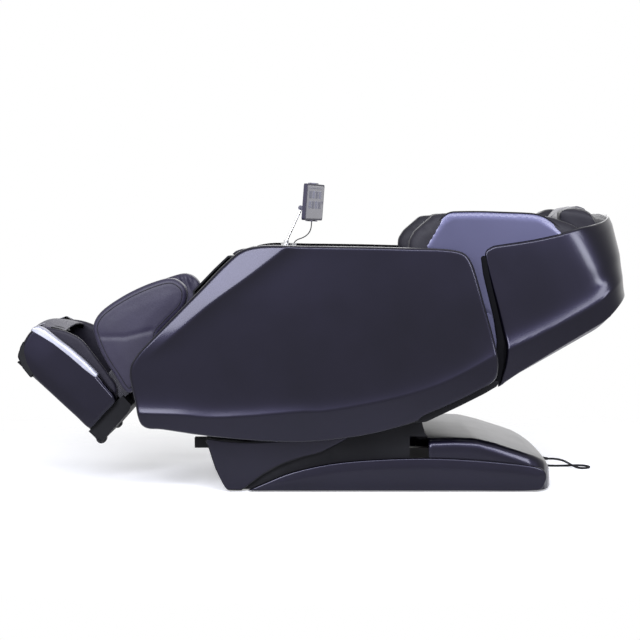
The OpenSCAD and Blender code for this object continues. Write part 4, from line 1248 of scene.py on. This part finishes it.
o = cushion("foot_bed", [box2([-393, -178, 8], [-387, 178, 288]), box2([-390, -17, 8], [-318, 17, 264])], hide,
            in_leg, 0.004, 0.005, 4, [(2, z, 6, 3, (1, 0, 0)) for z in (80, 150, 220)], 0.3)
soft(o, "footrest", 0.6, "foot_cushion")


def gusset():
    """Pleated cloth between the foot rest and the leg rest, open below."""
    # half of a section, as (y, z, outward y, outward z), and its mirror image
    half = ((-178, -8, -1, 0), (-181, 30, -1, 0), (-180, 62, -1, 0.2), (-170, 74, -0.5, 0.7), (-120, 60, 0, 1))
    section = half + ((0, 46, 0, 1),) + tuple((-y, z, -ny, nz) for y, z, ny, nz in reversed(half))
    rows, folds = [], 9
    for i in range(folds * 4 + 1):
        u = i / (folds * 4)
        x = -291 + 44 * u
        out = 5.0 * (1 - abs((u * folds) % 1 * 2 - 1))
        rows.append(catmull([[x, y + ny * out, z + nz * out] for y, z, ny, nz in section], False, 5))
    faces = grid_faces(len(rows), len(rows[0]))
    o = mesh_object("knee_gusset", in_leg(np.vstack(rows)), faces, gusset_cloth)
    thick = o.modifiers.new("thick", "SOLIDIFY")
    thick.thickness = 0.0012
    thick.offset = -1
    evaluated(o)
    a, b = in_leg([[-291, 0, 30], [-247, 0, 30]]) * MM
    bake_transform(o)


gusset()

# ---------------------------------------------------------------- tablet


def in_tablet(points):
    a, b = math.radians(4.5), math.radians(-20)
    m = Matrix.Rotation(b, 3, "Z") @ Matrix.Rotation(a, 3, "Y")
    return np.asarray(points, float) @ np.array(m).T + [-46, 318.7, 870]


def on_tablet(name, outline, x0, x1, mat, radius):
    """A plate over a Y-Z outline on the tablet's screen side."""
    q = rounded(outline, radius, 2)
    v, faces, ring = fill(q, 6, (0.3, 0.8))
    e, _, _ = to_line(v, q, True)
    front = np.stack([x1 - roll_off(e, 0.6), v[:, 0], v[:, 1]], 1)
    wall = np.stack([np.full(len(ring), x0), v[ring][:, 0], v[ring][:, 1]], 1)
    base, n = len(v), len(ring)
    faces = [tuple(f) for f in faces]
    faces += [(ring[(i + 1) % n], ring[i], base + i, base + (i + 1) % n) for i in range(n)]
    o = mesh_object(name, in_tablet(np.vstack([front, wall])), faces, mat)
    weld(o)
    put(o, "tablet")


on_tablet("tablet_screen", [[-79, -55], [79, -55], [79, 55], [-79, 55]], 5.5, 6.7, screen, 6)
tile = plastic("screen_tile", (0.20, 0.20, 0.27), (0.25, 0.25, 0.33), 0.15, 300, 0.02)
tile_dim = plastic("screen_tile_dim", (0.13, 0.13, 0.18), (0.16, 0.16, 0.21), 0.15, 300, 0.02)
for i in range(4):
    for j in range(2):
        y, z = -60 + i * 31, 12 - j * 34
        on_tablet(f"tablet_tile_{i}{j}", [[y, z], [y + 25, z], [y + 25, z + 26], [y, z + 26]], 6.5, 6.95,
                  tile if (i + j) % 2 else tile_dim, 4)
on_tablet("tablet_bar", [[-64, 45], [60, 45], [60, 49], [-64, 49]], 6.5, 6.9, tile_dim, 1.6)
on_tablet("tablet_key", [[66, -6], [74, -6], [74, 6], [66, 6]], 6.5, 7.4, grey_plastic, 3.6)

# ---------------------------------------------------------------- floor and light

floor_mesh = bpy.data.meshes.new("floor")
floor_mesh.from_pydata([(-4, -4, 0), (4, -4, 0), (4, 4, 0), (-4, 4, 0)], [], [(0, 1, 2, 3)])
floor_mat, tree, p = material("studio_floor", 2, 2, 0.3, 0.7, (0.86, 0.86, 0.865), (0.89, 0.89, 0.895),
                              Roughness=0.85,
                              Emission_Color=(1, 1, 1, 1), Emission_Strength=0.36)
middle = add(tree, "ShaderNodeVectorMath", operation="MULTIPLY")
middle.inputs[1].default_value = (0.62, 1.0, 0.0)
tree.links.new(object_coords(tree), middle.inputs[0])
away = add(tree, "ShaderNodeVectorMath", operation="LENGTH")
tree.links.new(middle.outputs[0], away.inputs[0])
fade = tree.nodes.new("ShaderNodeMapRange")
fade.interpolation_type = "SMOOTHSTEP"
fade.inputs["From Min"].default_value = 0.55
fade.inputs["From Max"].default_value = 1.5
fade.inputs["To Min"].default_value = 1.0
fade.inputs["To Max"].default_value = 0.0
tree.links.new(away.outputs["Value"], fade.inputs["Value"])
tree.links.new(fade.outputs["Result"], p.inputs["Alpha"])
floor = link("floor", floor_mesh, floor_mat)


def softbox(name, location, target, size, power, colour=(1, 1, 1)):
    light = bpy.data.lights.new(name, "AREA")
    light.shape = "RECTANGLE"
    light.size, light.size_y = size
    light.energy = power
    light.color = colour
    o = bpy.data.objects.new(name, light)
    o.location = location
    o.rotation_euler = (Vector(target) - Vector(location)).to_track_quat("-Z", "Y").to_euler()
    scene.collection.objects.link(o)


COOL = (0.88, 0.9, 1.0)
softbox("front_left", (-1.4, -3.3, 1.6), (-0.35, -0.39, 0.6), (1.5, 1.2), 110, COOL)
softbox("front_high", (0.55, -3.0, 2.3), (0.4, -0.39, 0.4), (4.0, 0.6), 140, COOL)
softbox("front_right", (1.95, -3.15, 1.45), (0.75, -0.33, 0.7), (0.6, 1.0), 48, COOL)
softbox("overhead", (0.1, 0, 3.3), (0.1, 0, 0.4), (2.8, 1.4), 20)
softbox("rear", (0.6, 3.2, 2.4), (0.1, 0, 0.5), (3.4, 2.2), 50)

world_data = bpy.data.worlds.new("studio")
scene.world = world_data
world_data.use_nodes = True
tree = world_data.node_tree
back_plate = tree.nodes["Background"]
back_plate.inputs["Color"].default_value = (0.78, 0.80, 0.92, 1)
back_plate.inputs["Strength"].default_value = 0.15
white = add(tree, "ShaderNodeBackground", Color=(1, 1, 1, 1), Strength=1.0)
path = tree.nodes.new("ShaderNodeLightPath")
seen = path.outputs["Is Camera Ray"]
for ray in ("Is Glossy Ray", "Is Transmission Ray"):
    either = add(tree, "ShaderNodeMath", operation="MAXIMUM")
    tree.links.new(seen, either.inputs[0])
    tree.links.new(path.outputs[ray], either.inputs[1])
    seen = either.outputs[0]
mix = tree.nodes.new("ShaderNodeMixShader")
tree.links.new(seen, mix.inputs[0])
tree.links.new(back_plate.outputs[0], mix.inputs[1])
tree.links.new(white.outputs[0], mix.inputs[2])
tree.links.new(mix.outputs[0], tree.nodes["World Output"].inputs["Surface"])
scene.view_settings.view_transform = "Standard"
